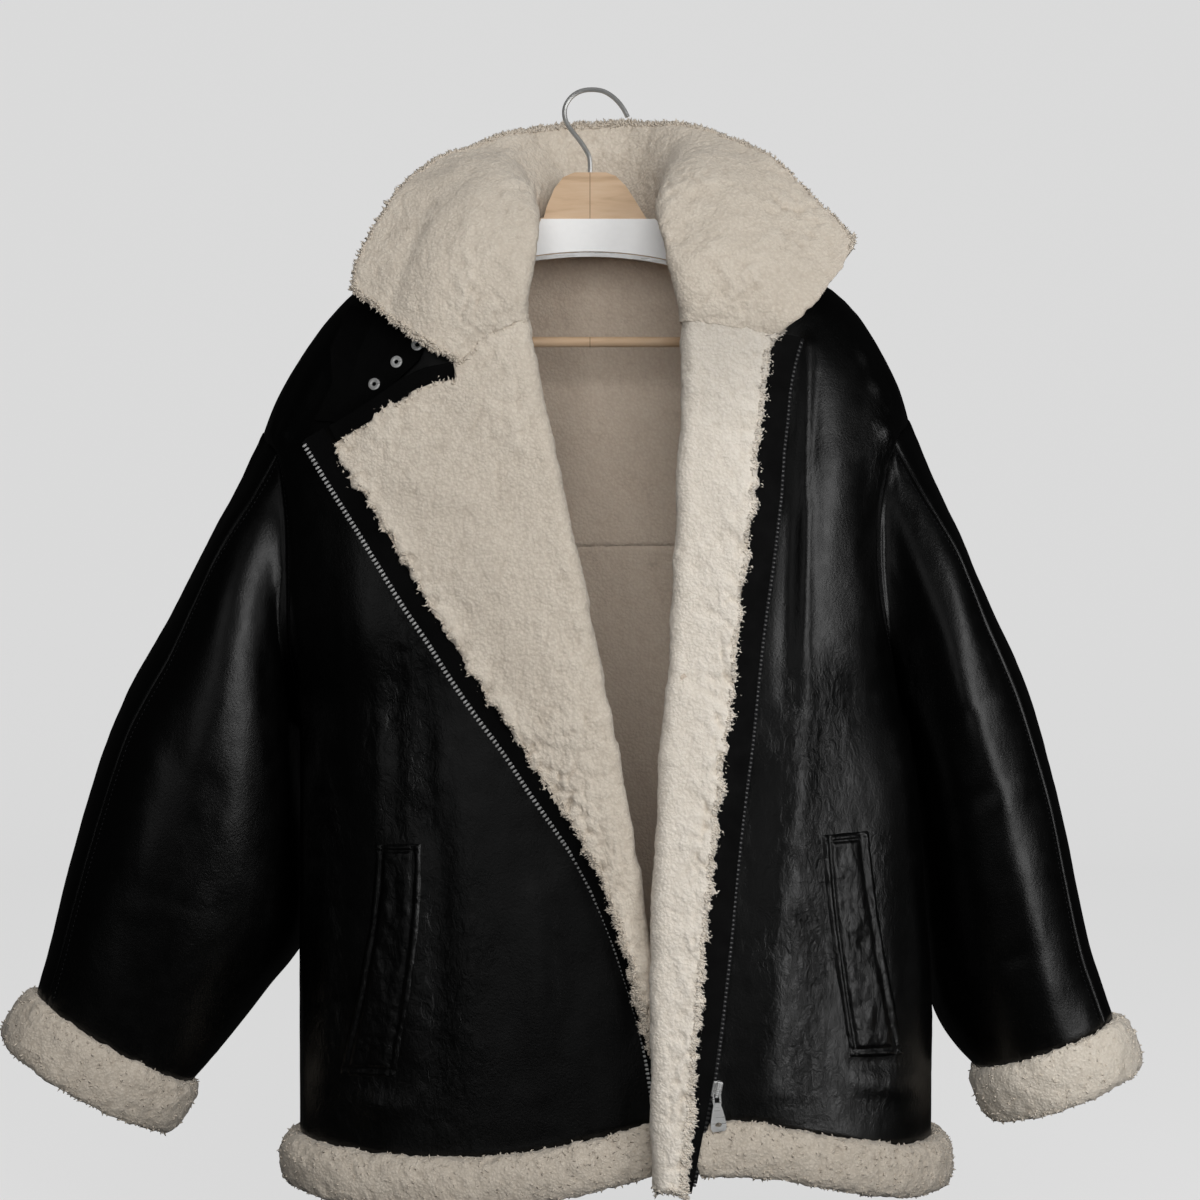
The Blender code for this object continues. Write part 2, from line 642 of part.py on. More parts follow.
WELT_RIGHT = [((-163, -593), (-135, -596)), ((-168, -650), (-139, -652)), ((-176, -710), (-146, -711)), ((-195, -769), (-148, -771))]
WELT_LEFT = [((179, -588), (208, -585)), ((199, -753), (237, -752))]
patch("pocket_welt_right", RIGHT, -1, WELT_RIGHT, 7, 3, 0.9, WELT_THICK, BLACK_LEATHER)
patch("pocket_welt_left", LEFT, 1, WELT_LEFT, 6, 4, 1.3, WELT_THICK, BLACK_LEATHER)

TAB = [((-186, -178), (-124, -200)), ((-201, -212), (-132, -222)), ((-199, -240), (-158, -247)), ((-213, -268), (-190, -270))]
patch("throat_tab", RIGHT, -1, TAB, 7, 4, 1.2, 1.8, MATT_LEATHER)


def ring(name, centre, out, major, minor, height, count, finish):
    side = unit(np.cross(out, np.array([0.0, 0.0, 1.0])))
    up = np.cross(side, out)
    centres, dirs = [], []
    for i in range(count):
        angle = 2 * math.pi * i / count
        d = side * math.cos(angle) + up * math.sin(angle)
        centres.append(centre + d * major)
        dirs.append(d)
    section = oval_section(minor, height / 2, 6, 2.0)
    add_sweep(name, centres, dirs, [out] * count, [section] * count, finish, closed=True)


EYELETS = [("eyelet_1", -166, -241), ("eyelet_2", -149, -224), ("eyelet_3", -133, -211)]
for name, x, z in EYELETS:
    p, n = on_front(RIGHT, -1, x, z)
    ring(name, p + n * (WALL / 2 + 1.2 + 1.8 + 0.4 + 0.6), n, 3.2, 1.7, 1.2, 16, STEEL)


# ---- zip

def zip_half(name, piece):
    edge, before, out = piece.points[:, -1], piece.points[:, -2], piece.normals[:, -1]
    off = edge - before
    off -= out * np.sum(off * out, axis=1, keepdims=True)
    off /= np.linalg.norm(off, axis=1, keepdims=True)
    centres = edge + off * (0.7 + ZIP_WIDTH / 2)
    w, t = ZIP_WIDTH / 2, ZIP_THICK / 2
    section = [(-w, -t), (w, -t), (w, t), (-w, t)]
    add_sweep(name, centres, off, out, [section] * len(centres), STEEL)
    return centres, off, out


zip_half("zip_right", front_right)
zip_centres, zip_off, zip_out = zip_half("zip_left", front_left)

# the slider rides on the left half near its lower end; z up along the zip, y to the back
SLIDER_BELOW_ROW = 9.0
head, foot = zip_centres[-2], zip_centres[-1]
slider_up = unit(head - foot)
slider_side = unit(zip_off[-2] - slider_up * zip_off[-2].dot(slider_up))
slider_back = np.cross(slider_up, slider_side)
slider_at = head - slider_up * SLIDER_BELOW_ROW


def placed(at, side, back, up):
    m = Matrix((
        (side[0], back[0], up[0], at[0] * MM),
        (side[1], back[1], up[1], at[1] * MM),
        (side[2], back[2], up[2], at[2] * MM),
        (0, 0, 0, 1),
    ))
    return m


def add_box(name, low, high, finish, home=None):
    bm = bmesh.new()
    bmesh.ops.create_cube(bm, size=1)
    low, high = np.array(low) * MM, np.array(high) * MM
    for v in bm.verts:
        v.co = Vector([(low[i] + high[i]) / 2 + v.co[i] * (high[i] - low[i]) for i in range(3)])
    return add_solid(name, bm, finish, home)


def cutter(obj):
    obj.hide_render = True
    obj.display_type = "WIRE"
    return obj


def boolean(obj, other, operation):
    modifier = obj.modifiers.new(other.name, "BOOLEAN")
    modifier.operation = operation
    modifier.object = other


slider = add_box("zip_slider", (-2.5, -3.6, -6), (5.2, 3.2, 6), STEEL)
bevel = slider.modifiers.new("rounded", "BEVEL")
bevel.width = 0.9 * MM
bevel.segments = 2
slot = cutter(add_box("cut_zip_slot", (-6, -1.6, -8), (2.95, 1.6, 8), STEEL, cutters))
bail = cutter(add_box("cut_bail", (0.0, -7.6, -5.5), (1.9, -3.2, 5.5), STEEL, cutters))
window = cutter(add_box("cut_bail_window", (-2, -6.4, -4.2), (4, -3.6, 4.2), STEEL, cutters))
boolean(bail, window, "DIFFERENCE")
boolean(slider, bail, "UNION")
boolean(slider, slot, "DIFFERENCE")
for obj in (slider, slot, bail, window):
    obj.matrix_world = placed(slider_at, slider_side, slider_back, slider_up)

# the pull hangs from the bail; its own origin is on the hinge
HINGE_LOCAL = (0.95, -5.0, -2.85)
PULL_TILT = math.radians(4.0)
hinge_at = slider_at + slider_side * HINGE_LOCAL[0] + slider_back * HINGE_LOCAL[1] + slider_up * HINGE_LOCAL[2]
pull_up = unit(np.array([-math.sin(PULL_TILT), 0.0, math.cos(PULL_TILT)]))
pull_up = unit(pull_up - slider_back * pull_up.dot(slider_back))
pull_side = unit(np.cross(slider_back, pull_up))

PULL_OUTLINE = Table("down half", [(-0.7, 2.6), (0.3, 3.2), (7.4, 3.2), (9.0, 2.8), (12.0, 3.9), (22.0, 5.9), (26.5, 6.0), (28.5, 4.6)])


def pull_curve():
    data = bpy.data.curves.new("zip_pull", "CURVE")
    data.dimensions = "2D"
    data.fill_mode = "BOTH"
    data.extrude = 0.6 * MM
    outline = [(half, -down) for down, half in PULL_OUTLINE.rows] + [(-half, -down) for down, half in PULL_OUTLINE.rows[::-1]]
    eye = [(-1.9, -0.75), (1.9, -0.75), (1.9, -6.9), (-1.9, -6.9)]
    hole = [(2.6 * math.cos(a), -23.4 + 1.7 * math.sin(a)) for a in np.linspace(0, 2 * math.pi, 17)[:-1]]
    for loop in (outline, eye, hole):
        poly = data.splines.new("POLY")
        poly.points.add(len(loop) - 1)
        poly.use_cyclic_u = True
        for point, (x, y) in zip(poly.points, loop):
            point.co = (x * MM, y * MM, 0, 1)
    obj = bpy.data.objects.new("zip_pull", data)
    collection.objects.link(obj)
    data.materials.append(material("zip_pull", *STEEL))
    # the curve's own x, y and z lie along the pull's side, up and front
    obj.matrix_world = placed(hinge_at, pull_side, pull_up, -slider_back)
    return obj


pull_curve()


# ---- hanger

HANGER_CENTRE = -1.6
HANGER_HALF_THICK = 6.0
HANGER_TOP = Table("off z", [(46, -103), (60, -114), (78, -123), (128, -141), (167, -158), (192, -178), (208, -198), (216, -214)])
HANGER_FOOT = Table("off z", [(216, -223), (207, -227), (193, -217), (165, -192), (125, -167), (90, -151), (58, -138), (30, -130.5), (0, -128)])
HUMP_LEFT = [(-38.5, -101.5), (-36, -92), (-30, -78), (-23, -69), (-14, -65.2)]
HUMP_RIGHT = [(11, -65.2), (19, -68), (27, -76), (36, -90), (43, -101.5)]


def flat_outline(name, loops, half_thick, finish, at_y=0.0):
    data = bpy.data.curves.new(name, "CURVE")
    data.dimensions = "2D"
    data.fill_mode = "BOTH"
    data.extrude = half_thick * MM
    for loop in loops:
        poly = data.splines.new("POLY")
        poly.points.add(len(loop) - 1)
        poly.use_cyclic_u = True
        for point, (x, z) in zip(poly.points, loop):
            point.co = (x * MM, z * MM, 0, 1)
    obj = bpy.data.objects.new(name, data)
    collection.objects.link(obj)
    data.materials.append(material(name, *finish))
    obj.rotation_euler = (math.radians(90), 0, 0)
    obj.location = (0, at_y * MM, 0)
    return obj


right_top = [(HANGER_CENTRE + off, z) for off, z in HANGER_TOP.rows]
right_foot = [(HANGER_CENTRE + off, z) for off, z in HANGER_FOOT.rows]
left_foot = [(HANGER_CENTRE - off, z) for off, z in HANGER_FOOT.rows[::-1][1:]]
left_top = [(HANGER_CENTRE - off, z) for off, z in HANGER_TOP.rows[::-1]]
flat_outline("hanger_body", [HUMP_LEFT + HUMP_RIGHT + right_top + right_foot + left_foot + left_top], HANGER_HALF_THICK, BEECH)

BAND_OUTLINE = [(-40.6, -102.5), (50.2, -102.5), (57, -108.5), (63, -117), (68, -128), (70, -137.5)] + [
    (x, -128.4 - 9.0 * ((x + 1.6) / 72) ** 2) for x in np.linspace(60, -44, 9)
] + [(-52.5, -133.4)]
BAND_HALF_THICK = 0.8
flat_outline("hanger_band", [BAND_OUTLINE], BAND_HALF_THICK, WHITE, -(HANGER_HALF_THICK + 0.3 + BAND_HALF_THICK))

strip_x = np.linspace(-50, 67, 12)
strip_centres = [np.array([x, -(HANGER_HALF_THICK + 1.3), -131.0 - 9.0 * ((x + 1.6) / 72) ** 2]) for x in strip_x]
add_sweep(
    "hanger_strip", strip_centres, [np.array([0.0, 0.0, 1.0])] * 12, [np.array([0.0, -1.0, 0.0])] * 12,
    [[(-1.7, -0.9), (1.7, -0.9), (1.7, 0.9), (-1.7, 0.9)]] * 12, STEEL,
)

BAR_RADIUS, BAR_LEFT, BAR_RIGHT, BAR_Z = 4.2, -170.0, 166.5, -200.0
bpy.ops.mesh.primitive_cylinder_add(vertices=20, radius=BAR_RADIUS * MM, depth=(BAR_RIGHT - BAR_LEFT) * MM)
bar = bpy.context.active_object
bar.name = "hanger_bar"
bar.rotation_euler = (0, math.radians(90), 0)
bar.location = ((BAR_RIGHT + BAR_LEFT) / 2 * MM, 0, BAR_Z * MM)
for home in list(bar.users_collection):
    home.objects.unlink(bar)
collection.objects.link(bar)
bar.data.materials.append(material("hanger_bar", *BEECH))
bar.data.shade_smooth()
bar.data.set_sharp_from_angle(angle=math.radians(40))

WIRE_RADIUS = 1.9
HOOK = Table("step x z", [
    (0, -1.6, -64.8), (1, -1.6, -56), (2, -3.0, -50), (3, -9.0, -40), (4, -17.0, -30), (5, -21.5, -21.5),
    (6, -21.5, -12), (7, -16.5, -4), (8, -9.0, 0.6), (9, 0.0, 1.9), (10, 9.5, 0.4), (11, 18.0, -5), (12, 24.5, -12.5), (13, 28.5, -20),
])


def hook_curve():
    data = bpy.data.curves.new("hanger_hook", "CURVE")
    data.dimensions = "3D"
    data.bevel_depth = WIRE_RADIUS * MM
    data.bevel_resolution = 2
    data.use_fill_caps = True
    steps = np.linspace(0, 13, 40)
    poly = data.splines.new("POLY")
    poly.points.add(len(steps) - 1)
    for point, step in zip(poly.points, steps):
        point.co = (float(HOOK.at(step, "x")) * MM, 0, float(HOOK.at(step, "z")) * MM, 1)
    obj = bpy.data.objects.new("hanger_hook", data)
    collection.objects.link(obj)
    data.materials.append(material("hanger_hook", *STEEL))


hook_curve()
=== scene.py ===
"""The look of the sheepskin flying jacket on its hanger: shearling, leather, zip, wood and wire.

Metres, +Z up, the jacket faces -Y. Tables are in millimetres, or in pixels of the 1200 by 1200 view where they say so.
"""

import math

import bpy
import numpy as np
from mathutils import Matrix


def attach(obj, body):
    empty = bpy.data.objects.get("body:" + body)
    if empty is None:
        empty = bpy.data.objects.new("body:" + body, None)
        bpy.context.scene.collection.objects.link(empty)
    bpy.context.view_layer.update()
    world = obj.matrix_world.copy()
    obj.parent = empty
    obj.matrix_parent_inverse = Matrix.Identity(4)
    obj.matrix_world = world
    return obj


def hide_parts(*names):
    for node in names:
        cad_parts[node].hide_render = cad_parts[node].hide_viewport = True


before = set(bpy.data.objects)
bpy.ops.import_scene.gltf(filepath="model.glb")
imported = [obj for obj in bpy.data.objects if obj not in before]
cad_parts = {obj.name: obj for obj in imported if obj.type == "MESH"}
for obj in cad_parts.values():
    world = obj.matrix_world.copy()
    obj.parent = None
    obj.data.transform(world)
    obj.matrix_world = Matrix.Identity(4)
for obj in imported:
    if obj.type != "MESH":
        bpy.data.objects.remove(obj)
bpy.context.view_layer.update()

MM = 0.001
# ---- driving sizes, in millimetres
WALL = 6.0            # shearling: leather with its short wool
SEAM_GAP = 1.00       # between two pieces at a seam
FOLD_RADIUS = 6.5     # middle of the wall where a front turns back
STRIP_WIDTH_RIGHT = 17.0
STRIP_WIDTH_LEFT = 20.0
STRIP_THICK = 1.4
WELT_THICK = 2.4
ZIP_WIDTH, ZIP_THICK = 5.0, 2.4
FUR_HEM_HEIGHT, FUR_HEM_HALF, FUR_HEM_OUT = 38.0, 13.0, 6.0
FUR_CUFF_HEIGHT, FUR_CUFF_HALF, FUR_CUFF_OUT = 43.0, 9.5, 4.0
NOTCH = 0.27          # where the lapel's top edge leaves the collar, along the first row
HEM_RISE = 28.0       # how far the left front's hem rises towards the middle
YOKE_ROW = 7.65       # the back's cross seam
SLEEVE_SEAM = 0.10    # the sleeve's outer seam, as a share of the way round from the top


def spline(keys, values, at):
    """Smooth curve through (keys, values), read at `at`."""
    keys, values, at = np.asarray(keys, float), np.asarray(values, float), np.asarray(at, float)
    step = np.diff(keys)
    slope = np.diff(values) / step
    tangent = np.empty_like(values)
    tangent[0], tangent[-1] = slope[0], slope[-1]
    tangent[1:-1] = (slope[:-1] * step[1:] + slope[1:] * step[:-1]) / (step[:-1] + step[1:])
    i = np.clip(np.searchsorted(keys, at, side="right") - 1, 0, len(step) - 1)
    h = step[i]
    s = (at - keys[i]) / h
    return (
        (2 * s**3 - 3 * s**2 + 1) * values[i]
        + (s**3 - 2 * s**2 + s) * h * tangent[i]
        + (3 * s**2 - 2 * s**3) * values[i + 1]
        + (s**3 - s**2) * h * tangent[i + 1]
    )


class Table:
    """Rows of named sizes. The first column is the key; at() reads a column between rows."""

    def __init__(self, columns, rows):
        self.columns = columns.split()
        self.rows = np.array(rows, float)

    def at(self, key, name):
        return spline(self.rows[:, 0], self.rows[:, self.columns.index(name)], key)

    def point(self, key, *names):
        return np.array([self.at(key, name) for name in names])


def smooth(x):
    x = min(max(x, 0.0), 1.0)
    return x * x * (3 - 2 * x)


# ---- fronts: a row for each cross-section, from the neck (0) over the shoulder,
# down the armhole (5 to 10) and the side seam (10 to 16) to the hem.
# out: shoulder line, armhole or side seam, with the front's and the back's y there
# roll: where the front turns back, its visible outermost line
# edge: the end of the turned-back flap; sag: how far the row hangs below straight
FRONT_COLUMNS = "row out_x out_z out_yf out_yb roll_x roll_z roll_y edge_x edge_z edge_y sag"
RIGHT = Table(FRONT_COLUMNS, [
    (0, -76, -104, 0, 0, -50, -193, -78, -220, -283, -80, 0),
    (1, -128, -130, 0, 0, -47, -211, -80, -200, -316, -86, 0),
    (2, -167, -148, -1, -1, -43, -232, -83, -177, -352, -93, 0),
    (3, -197, -171, -2, -2, -39, -253, -85, -158, -383, -99, 0),
    (4, -231, -216, -4, -4, -35, -273, -87, -140, -412, -101, 0),
    (5, -258, -271, -6, -6, -31, -290, -89, -123, -437, -103, 0),
    (6, -245, -291, -38, 34, -26, -311, -91, -108, -461, -104, 0),
    (7, -238, -334, -50, 50, -20, -339, -93, -89, -489, -106, 0),
    (8, -236, -382, -52, 54, -12, -377, -96, -66, -520, -108, 0),
    (9, -235, -438, -42, 46, -2, -423, -98, -47, -549, -109, 0),
    (10, -232, -492, 8, 8, 7, -469, -99, -27, -578, -109, 0),
    (11, -230, -542, -10, -10, 16, -514, -100, -10, -604, -109, 0),
    (12, -230, -606, -8, -8, 26, -571, -100, 9, -643, -109, 0),
    (13, -230, -669, -8, -8, 38, -628, -100, 23, -681, -109, 3),
    (14, -230, -733, -8, -8, 46, -683, -100, 34, -717, -109, 7),
    (15, -230, -789, -8, -8, 63, -746, -100, 44, -755, -109, 12),
    (16, -230, -830, -8, -8, 75, -804, -100, 52, -804, -109, 18),
])
LEFT = Table(FRONT_COLUMNS, [
    (0, 80, -104, 0, 0, 70, -193, -80, 160, -205, -84, 0),
    (1, 133, -128, 0, 0, 70, -215, -83, 154, -226, -88, 0),
    (2, 176, -152, -1, -1, 70, -238, -86, 150, -247, -91, 0),
    (3, 205, -175, -2, -2, 70, -261, -88, 148, -269, -94, 0),
    (4, 230, -214, -4, -4, 69, -284, -90, 145, -293, -98, 0),
    (5, 249, -261, -6, -6, 67, -311, -93, 143, -323, -101, 0),
    (6, 235, -281, -38, 34, 67, -338, -95, 140, -349, -104, 0),
    (7, 225, -326, -50, 50, 65, -368, -97, 136, -382, -107, 0),
    (8, 224, -379, -54, 54, 63, -406, -100, 130, -423, -110, 0),
    (9, 230, -434, -42, 46, 60, -448, -103, 125, -467, -113, 0),
    (10, 242, -482, 8, 8, 56, -494, -107, 120, -516, -117, 0),
    (11, 250, -534, -10, -10, 53, -539, -111, 114, -561, -121, 0),
    (12, 258, -598, -8, -8, 50, -591, -116, 108, -614, -126, 0),
    (13, 264, -661, -8, -8, 48, -644, -120, 103, -666, -130, 2),
    (14, 268, -725, -8, -8, 46, -696, -123, 98, -710, -133, 4),
    (15, 268, -781, -8, -8, 46, -759, -125, 91, -764, -135, 3),
    (16, 268, -830, -8, -8, 48, -850, -125, 74, -851, -136, 0),
])
# the back's depth down its middle, and how far each row dips there
BACK = Table("row deep dip", [
    (0, 45, 23), (1, 52, 20), (2, 56, 16), (3, 60, 11), (4, 63, 5), (5, 66, 1),
    (6, 68, 0), (8, 72, 0), (10, 76, 0), (12, 80, 0), (14, 82, 2), (16, 84, 6),
])
# ---- sleeves: along the sleeve from the armhole (0) to the cuff (1).
# out: the outer edge, in: the underarm edge, front and back: half depths
SLEEVE_COLUMNS = "along out_x out_z out_y in_x in_z in_y front back"
SLEEVE_RIGHT = Table(SLEEVE_COLUMNS, [
    (0.00, -258, -271, -6, -232, -492, 8, 52, 52),
    (0.06, -267, -291, -6, -243, -502, 16, 57, 53),
    (0.15, -281, -320, -6, -241, -530, 34, 73, 50),
    (0.30, -302, -359, -6, -234, -582, 48, 90, 46),
    (0.45, -338, -432, -6, -232, -637, 54, 94, 44),
    (0.60, -374, -494, -6, -237, -681, 48, 88, 43),
    (0.75, -405, -590, -6, -263, -716, 36, 76, 42),
    (0.90, -428, -678, -6, -299, -762, 22, 60, 42),
    (1.00, -440, -721, -6, -325, -792, 10, 48, 40),
])
SLEEVE_LEFT = Table(SLEEVE_COLUMNS, [
    (0.00, 249, -261, -6, 246, -479, 8, 54, 54),
    (0.06, 257, -279, -6, 256, -489, 16, 57, 53),
    (0.15, 268, -307, -6, 262, -519, 34, 73, 50),
    (0.30, 288, -351, -6, 263, -573, 48, 90, 46),
    (0.45, 310, -404, -6, 267, -634, 54, 94, 44),
    (0.60, 337, -462, -6, 272, -692, 48, 88, 43),
    (0.75, 367, -558, -6, 280, -736, 38, 76, 42),
    (0.90, 391, -674, -6, 297, -765, 22, 60, 42),
    (1.00, 413, -740, -6, 313, -781, 10, 48, 40),
])
# ---- collar: a row for each section from the right front's notch (0) round the back
# of the neck (3) to the left front's notch (6). Each section runs from the neck seam
# through turn (where it rolls over), leaf (middle) and rim (outer edge).
COLLAR = Table("station turn_x turn_y turn_z leaf_x leaf_y leaf_z rim_x rim_y rim_z", [
    (0.00, -112, -93, -218, -132, -92, -207, -186, -62, -166),
    (0.50, -92, -93, -192, -119, -90, -172, -178, -52, -133),
    (1.00, -60, -94, -166, -98, -78, -128, -153, -28, -87),
    (1.50, -49, -82, -142, -87, -54, -92, -126, -2, -58),
    (2.00, -48, -50, -106, -65, -18, -66, -94, 12, -44),
    (2.25, -53, -10, -95, -58, 14, -58, -68, 32, -30),
    (2.50, -40, 18, -85, -40, 40, -52, -46, 50, -22),
    (3.00, 0, 53, -91, 0, 57, -53, 0, 62, -16),
    (3.50, 50, 29, -87, 46, 40, -52, 48, 52, -17),
    (3.75, 61, -8, -94, 62, 12, -56, 72, 36, -22),
    (4.00, 56, -50, -104, 72, -18, -62, 98, 24, -31),
    (4.50, 63, -82, -140, 104, -54, -96, 141, -2, -55),
    (5.00, 76, -94, -166, 114, -78, -132, 177, -32, -96),
    (5.50, 108, -94, -184, 137, -90, -168, 202, -52, -124),
    (6.00, 148, -93, -196, 166, -90, -182, 203, -60, -134),
])


def side_point(table, row, face):
    """Where a front or the back ends: one seam for both, but two edges round the armhole (rows 5 to 10)."""
    x, z, front, back = table.point(row, "out_x", "out_z", "out_yf", "out_yb")
    if 5 < row < 10:
        return np.array([x, front if face == "front" else back, z])
    return np.array([x, (front + back) / 2, z])


def front_point(table, side, row, part, share):
    """A point on a front's middle surface. side: -1 right front, +1 left front.

    part "body": share 0 at the shoulder, armhole or side seam, 1 where the turn starts.
    part "turn": share 0 to 1 round the half turn.
    part "flap": share 0 at the turn, 1 at the free edge.
    """
    def start(r):
        roll = table.point(r, "roll_x", "roll_z")
        return roll + np.array([side * (WALL / 2 + FOLD_RADIUS), 0.0])

    depth = float(table.at(row, "roll_y"))
    a = start(row)
    along = start(min(row + 0.05, 16)) - start(max(row - 0.05, 0))
    along /= np.linalg.norm(along)
    across = np.array([-along[1], along[0]]) * -side
    if part == "body":
        x, yf, z = side_point(table, row, "front")
        rise = (1 - (1 - share) ** 2.3) ** (1 / 2.3)
        sag = float(table.at(row, "sag")) * math.sin(math.pi * min(share / 0.96, 1.0))
        if side > 0:
            drop = smooth((share - 0.84) / 0.16)
            hem = smooth((row - 15) / 1.0)
            level = z + HEM_RISE * smooth(share / 0.8)
            zz = (z + (a[1] - z) * share) * (1 - hem) + (level + (a[1] - level) * drop) * hem
        else:
            zz = z + (a[1] - z) * share
        return np.array([x + (a[0] - x) * share, yf + (depth - yf) * rise, zz - sag])
    if part == "turn":
        angle = math.pi * share
        out = a + across * FOLD_RADIUS * math.sin(angle)
        return np.array([out[0], depth - FOLD_RADIUS * (1 - math.cos(angle)), out[1]])
    first = np.array([a[0], depth - 2 * FOLD_RADIUS, a[1]])
    last = table.point(row, "edge_x", "edge_y", "edge_z")
    p = first + (last - first) * share
    # the lapel's top edge dips at the notch and rises beyond it
    if row < 1.6 and side < 0:
        bend = (1 - row / 1.6) ** 2
        p[2] += bend * (5.0 * math.exp(-(((share - 0.52) / 0.13) ** 2)) - 7.0 * math.exp(-(((share - 0.25) / 0.1) ** 2)))
    puff = 4.0 * math.sin(math.pi * share) * min(1.0, np.linalg.norm(last - first) / 90)
    p[1] -= puff
    return p


def back_point(row, share):
    left = side_point(RIGHT, row, "back")
    right = side_point(LEFT, row, "back")
    p = left + (right - left) * share
    rise = (1 - abs(2 * share - 1) ** 2.4) ** (1 / 2.4)
    p[1] += (float(BACK.at(row, "deep")) - p[1]) * rise
    p[2] -= float(BACK.at(row, "dip")) * math.sin(math.pi * share)
    return p


def sleeve_point(sleeve, front, along, turn):
    """turn 0 at the sleeve's outer edge, 0.25 in front, 0.5 under the arm, 0.75 behind."""
    def oval(t):
        out = sleeve.point(t, "out_x", "out_y", "out_z")
        under = sleeve.point(t, "in_x", "in_y", "in_z")
        s = math.sin(2 * math.pi * turn)
        half = float(sleeve.at(t, "front" if s > 0 else "back"))
        p = (out + under) / 2 + (out - under) / 2 * math.cos(2 * math.pi * turn)
        p[1] -= half * s
        return p

    t = turn % 1.0
    row = 5 + 10 * t if t <= 0.5 else 5 + 10 * (1 - t)
    hole = side_point(front, row, "front" if t <= 0.5 else "back")
    return oval(along) + (hole - oval(0)) * (1 - smooth(along / 0.35))


def neck_point(station):
    """The neck edge that the collar is sewn to, by the collar's station."""
    table, side, s = (RIGHT, -1, station) if station <= 3 else (LEFT, 1, 6 - station)
    if s <= 0.85:
        return front_point(table, side, 0, "flap", (NOTCH if side < 0 else 0.72) * (1 - s / 0.85))
    if s <= 1.15:
        return front_point(table, side, 0, "turn", 1 - (s - 0.85) / 0.3)
    if s < 2:
        return front_point(table, side, 0, "body", 1 - (s - 1.15) / 0.85)
    return back_point(0, (station - 2) / 2)


def collar_point(station, share):
    curve = np.array([
        neck_point(station),
        COLLAR.point(station, "turn_x", "turn_y", "turn_z"),
        COLLAR.point(station, "leaf_x", "leaf_y", "leaf_z"),
        COLLAR.point(station, "rim_x", "rim_y", "rim_z"),
    ])
    return np.array([spline((0, 0.3, 0.62, 1), curve[:, i], share) for i in range(3)])


def grid(function, rows, columns):
    return np.array([[function(r, c) for c in columns] for r in rows])


def normals(points, flip):
    along = np.gradient(points, axis=0)
    across = np.gradient(points, axis=1)
    n = np.cross(along, across)
    n /= np.maximum(np.linalg.norm(n, axis=2, keepdims=True), 1e-9)
    return -n if flip else n


class Piece:
    """A cut piece: a grid of points on its middle surface, and the directions to its leather side."""

    def __init__(self, points, flip):
        self.points = points.copy()
        self.normals = normals(points, flip)
        self.reach = np.ones((*points.shape[:2], 2))  # how far each face stands off, over half the wall

    def border(self):
        rows, columns = self.points.shape[:2]
        for r in range(rows):
            for c in range(columns):
                if r in (0, rows - 1) or c in (0, columns - 1):
                    yield r, c


def sew(pieces):
    """Where pieces share border points: one common direction, and a small gap between them."""
    shared = {}
    for piece in pieces:
        for r, c in piece.border():
            key = tuple(np.round(piece.points[r, c], 3))
            shared.setdefault(key, []).append((piece, r, c))
    moves = []
    for found in shared.values():
        if len({id(piece) for piece, _, _ in found}) < 2:
            continue
        mean = sum(piece.normals[r, c] for piece, r, c in found)
        mean /= np.linalg.norm(mean)
        # in a crease the faces meet further out than half the wall
        deep = 1 / max(min(mean.dot(piece.normals[r, c]) for piece, r, c in found), 0.36)
        lean = 0.0
        for piece, r, c in found:
            rows, columns = piece.points.shape[:2]
            inward = np.zeros(3)
            for nr, nc, on_edge in (
                (r + 1, c, r == 0), (r - 1, c, r == rows - 1),
                (r, c + 1, c == 0), (r, c - 1, c == columns - 1),
            ):
                if on_edge:
                    step = piece.points[nr, nc] - piece.points[r, c]
                    lean += step.dot(mean) / np.linalg.norm(step)
                    step = step - mean * step.dot(mean)
                    inward += step / np.linalg.norm(step)
            moves.append((piece, r, c, mean, inward * deep**2))
        for piece, r, c in found:
            piece.reach[r, c] = (deep, 1.0) if lean > 0 else (1.0, deep)
    for piece, r, c, mean, inward in moves:
        piece.normals[r, c] = mean
        piece.points[r, c] += inward * SEAM_GAP / 2


def unit(v):
    return v / np.linalg.norm(v)


# ---- fine grids over the same surfaces

ROWS = [0, 0.6, 1.3, 2.1, 3, 4, 5, 5.35, 6, 6.7, YOKE_ROW, 8.4, 9, 9.6, 10, 10.6, 11.6, 12.8, 14, 15, 16]
BODY_SHARES = [0, 0.035, 0.1, 0.2, 0.33, 0.5, 0.68, 0.85, 1.0]
TURN_SHARES = [0.25, 0.5, 0.75]
BACK_SHARES = [0, 0.02, 0.06, 0.13, 0.24, 0.37, 0.5, 0.63, 0.76, 0.87, 0.94, 0.98, 1]
ALONG = [0, 0.06, 0.15, 0.3, 0.45, 0.6, 0.75, 0.9, 1]
FINER = 2             # how many steps each step of these lists is cut into


def finer(keys, count=FINER):
    keys = np.asarray(keys, float)
    index = np.arange((len(keys) - 1) * count + 1) / count
    return np.interp(index, np.arange(len(keys)), keys)


def flap_keys(table, side, row, strip_width):
    length = np.linalg.norm(front_point(table, side, row, "flap", 1) - front_point(table, side, row, "flap", 0))
    n = NOTCH if side < 0 else 0.72
    last = 1 - min(strip_width / length, 0.2 if row == 0 else 0.42)
    if row == 0:
        return [0, n / 2, n, (n + last) / 2, last, 1]
    return [0, n * 0.5 * last / 0.9, n * last / 0.9, (n * last / 0.9 + last) / 2, last, 1]


FLAP_KEYS = 5         # steps of the flap
body_columns = (len(BODY_SHARES) - 1) * FINER
turn_columns = body_columns + (len(TURN_SHARES) + 1) * FINER
wool_columns = turn_columns + (FLAP_KEYS - 1) * FINER
all_columns = turn_columns + FLAP_KEYS * FINER
fine_rows = finer(ROWS)


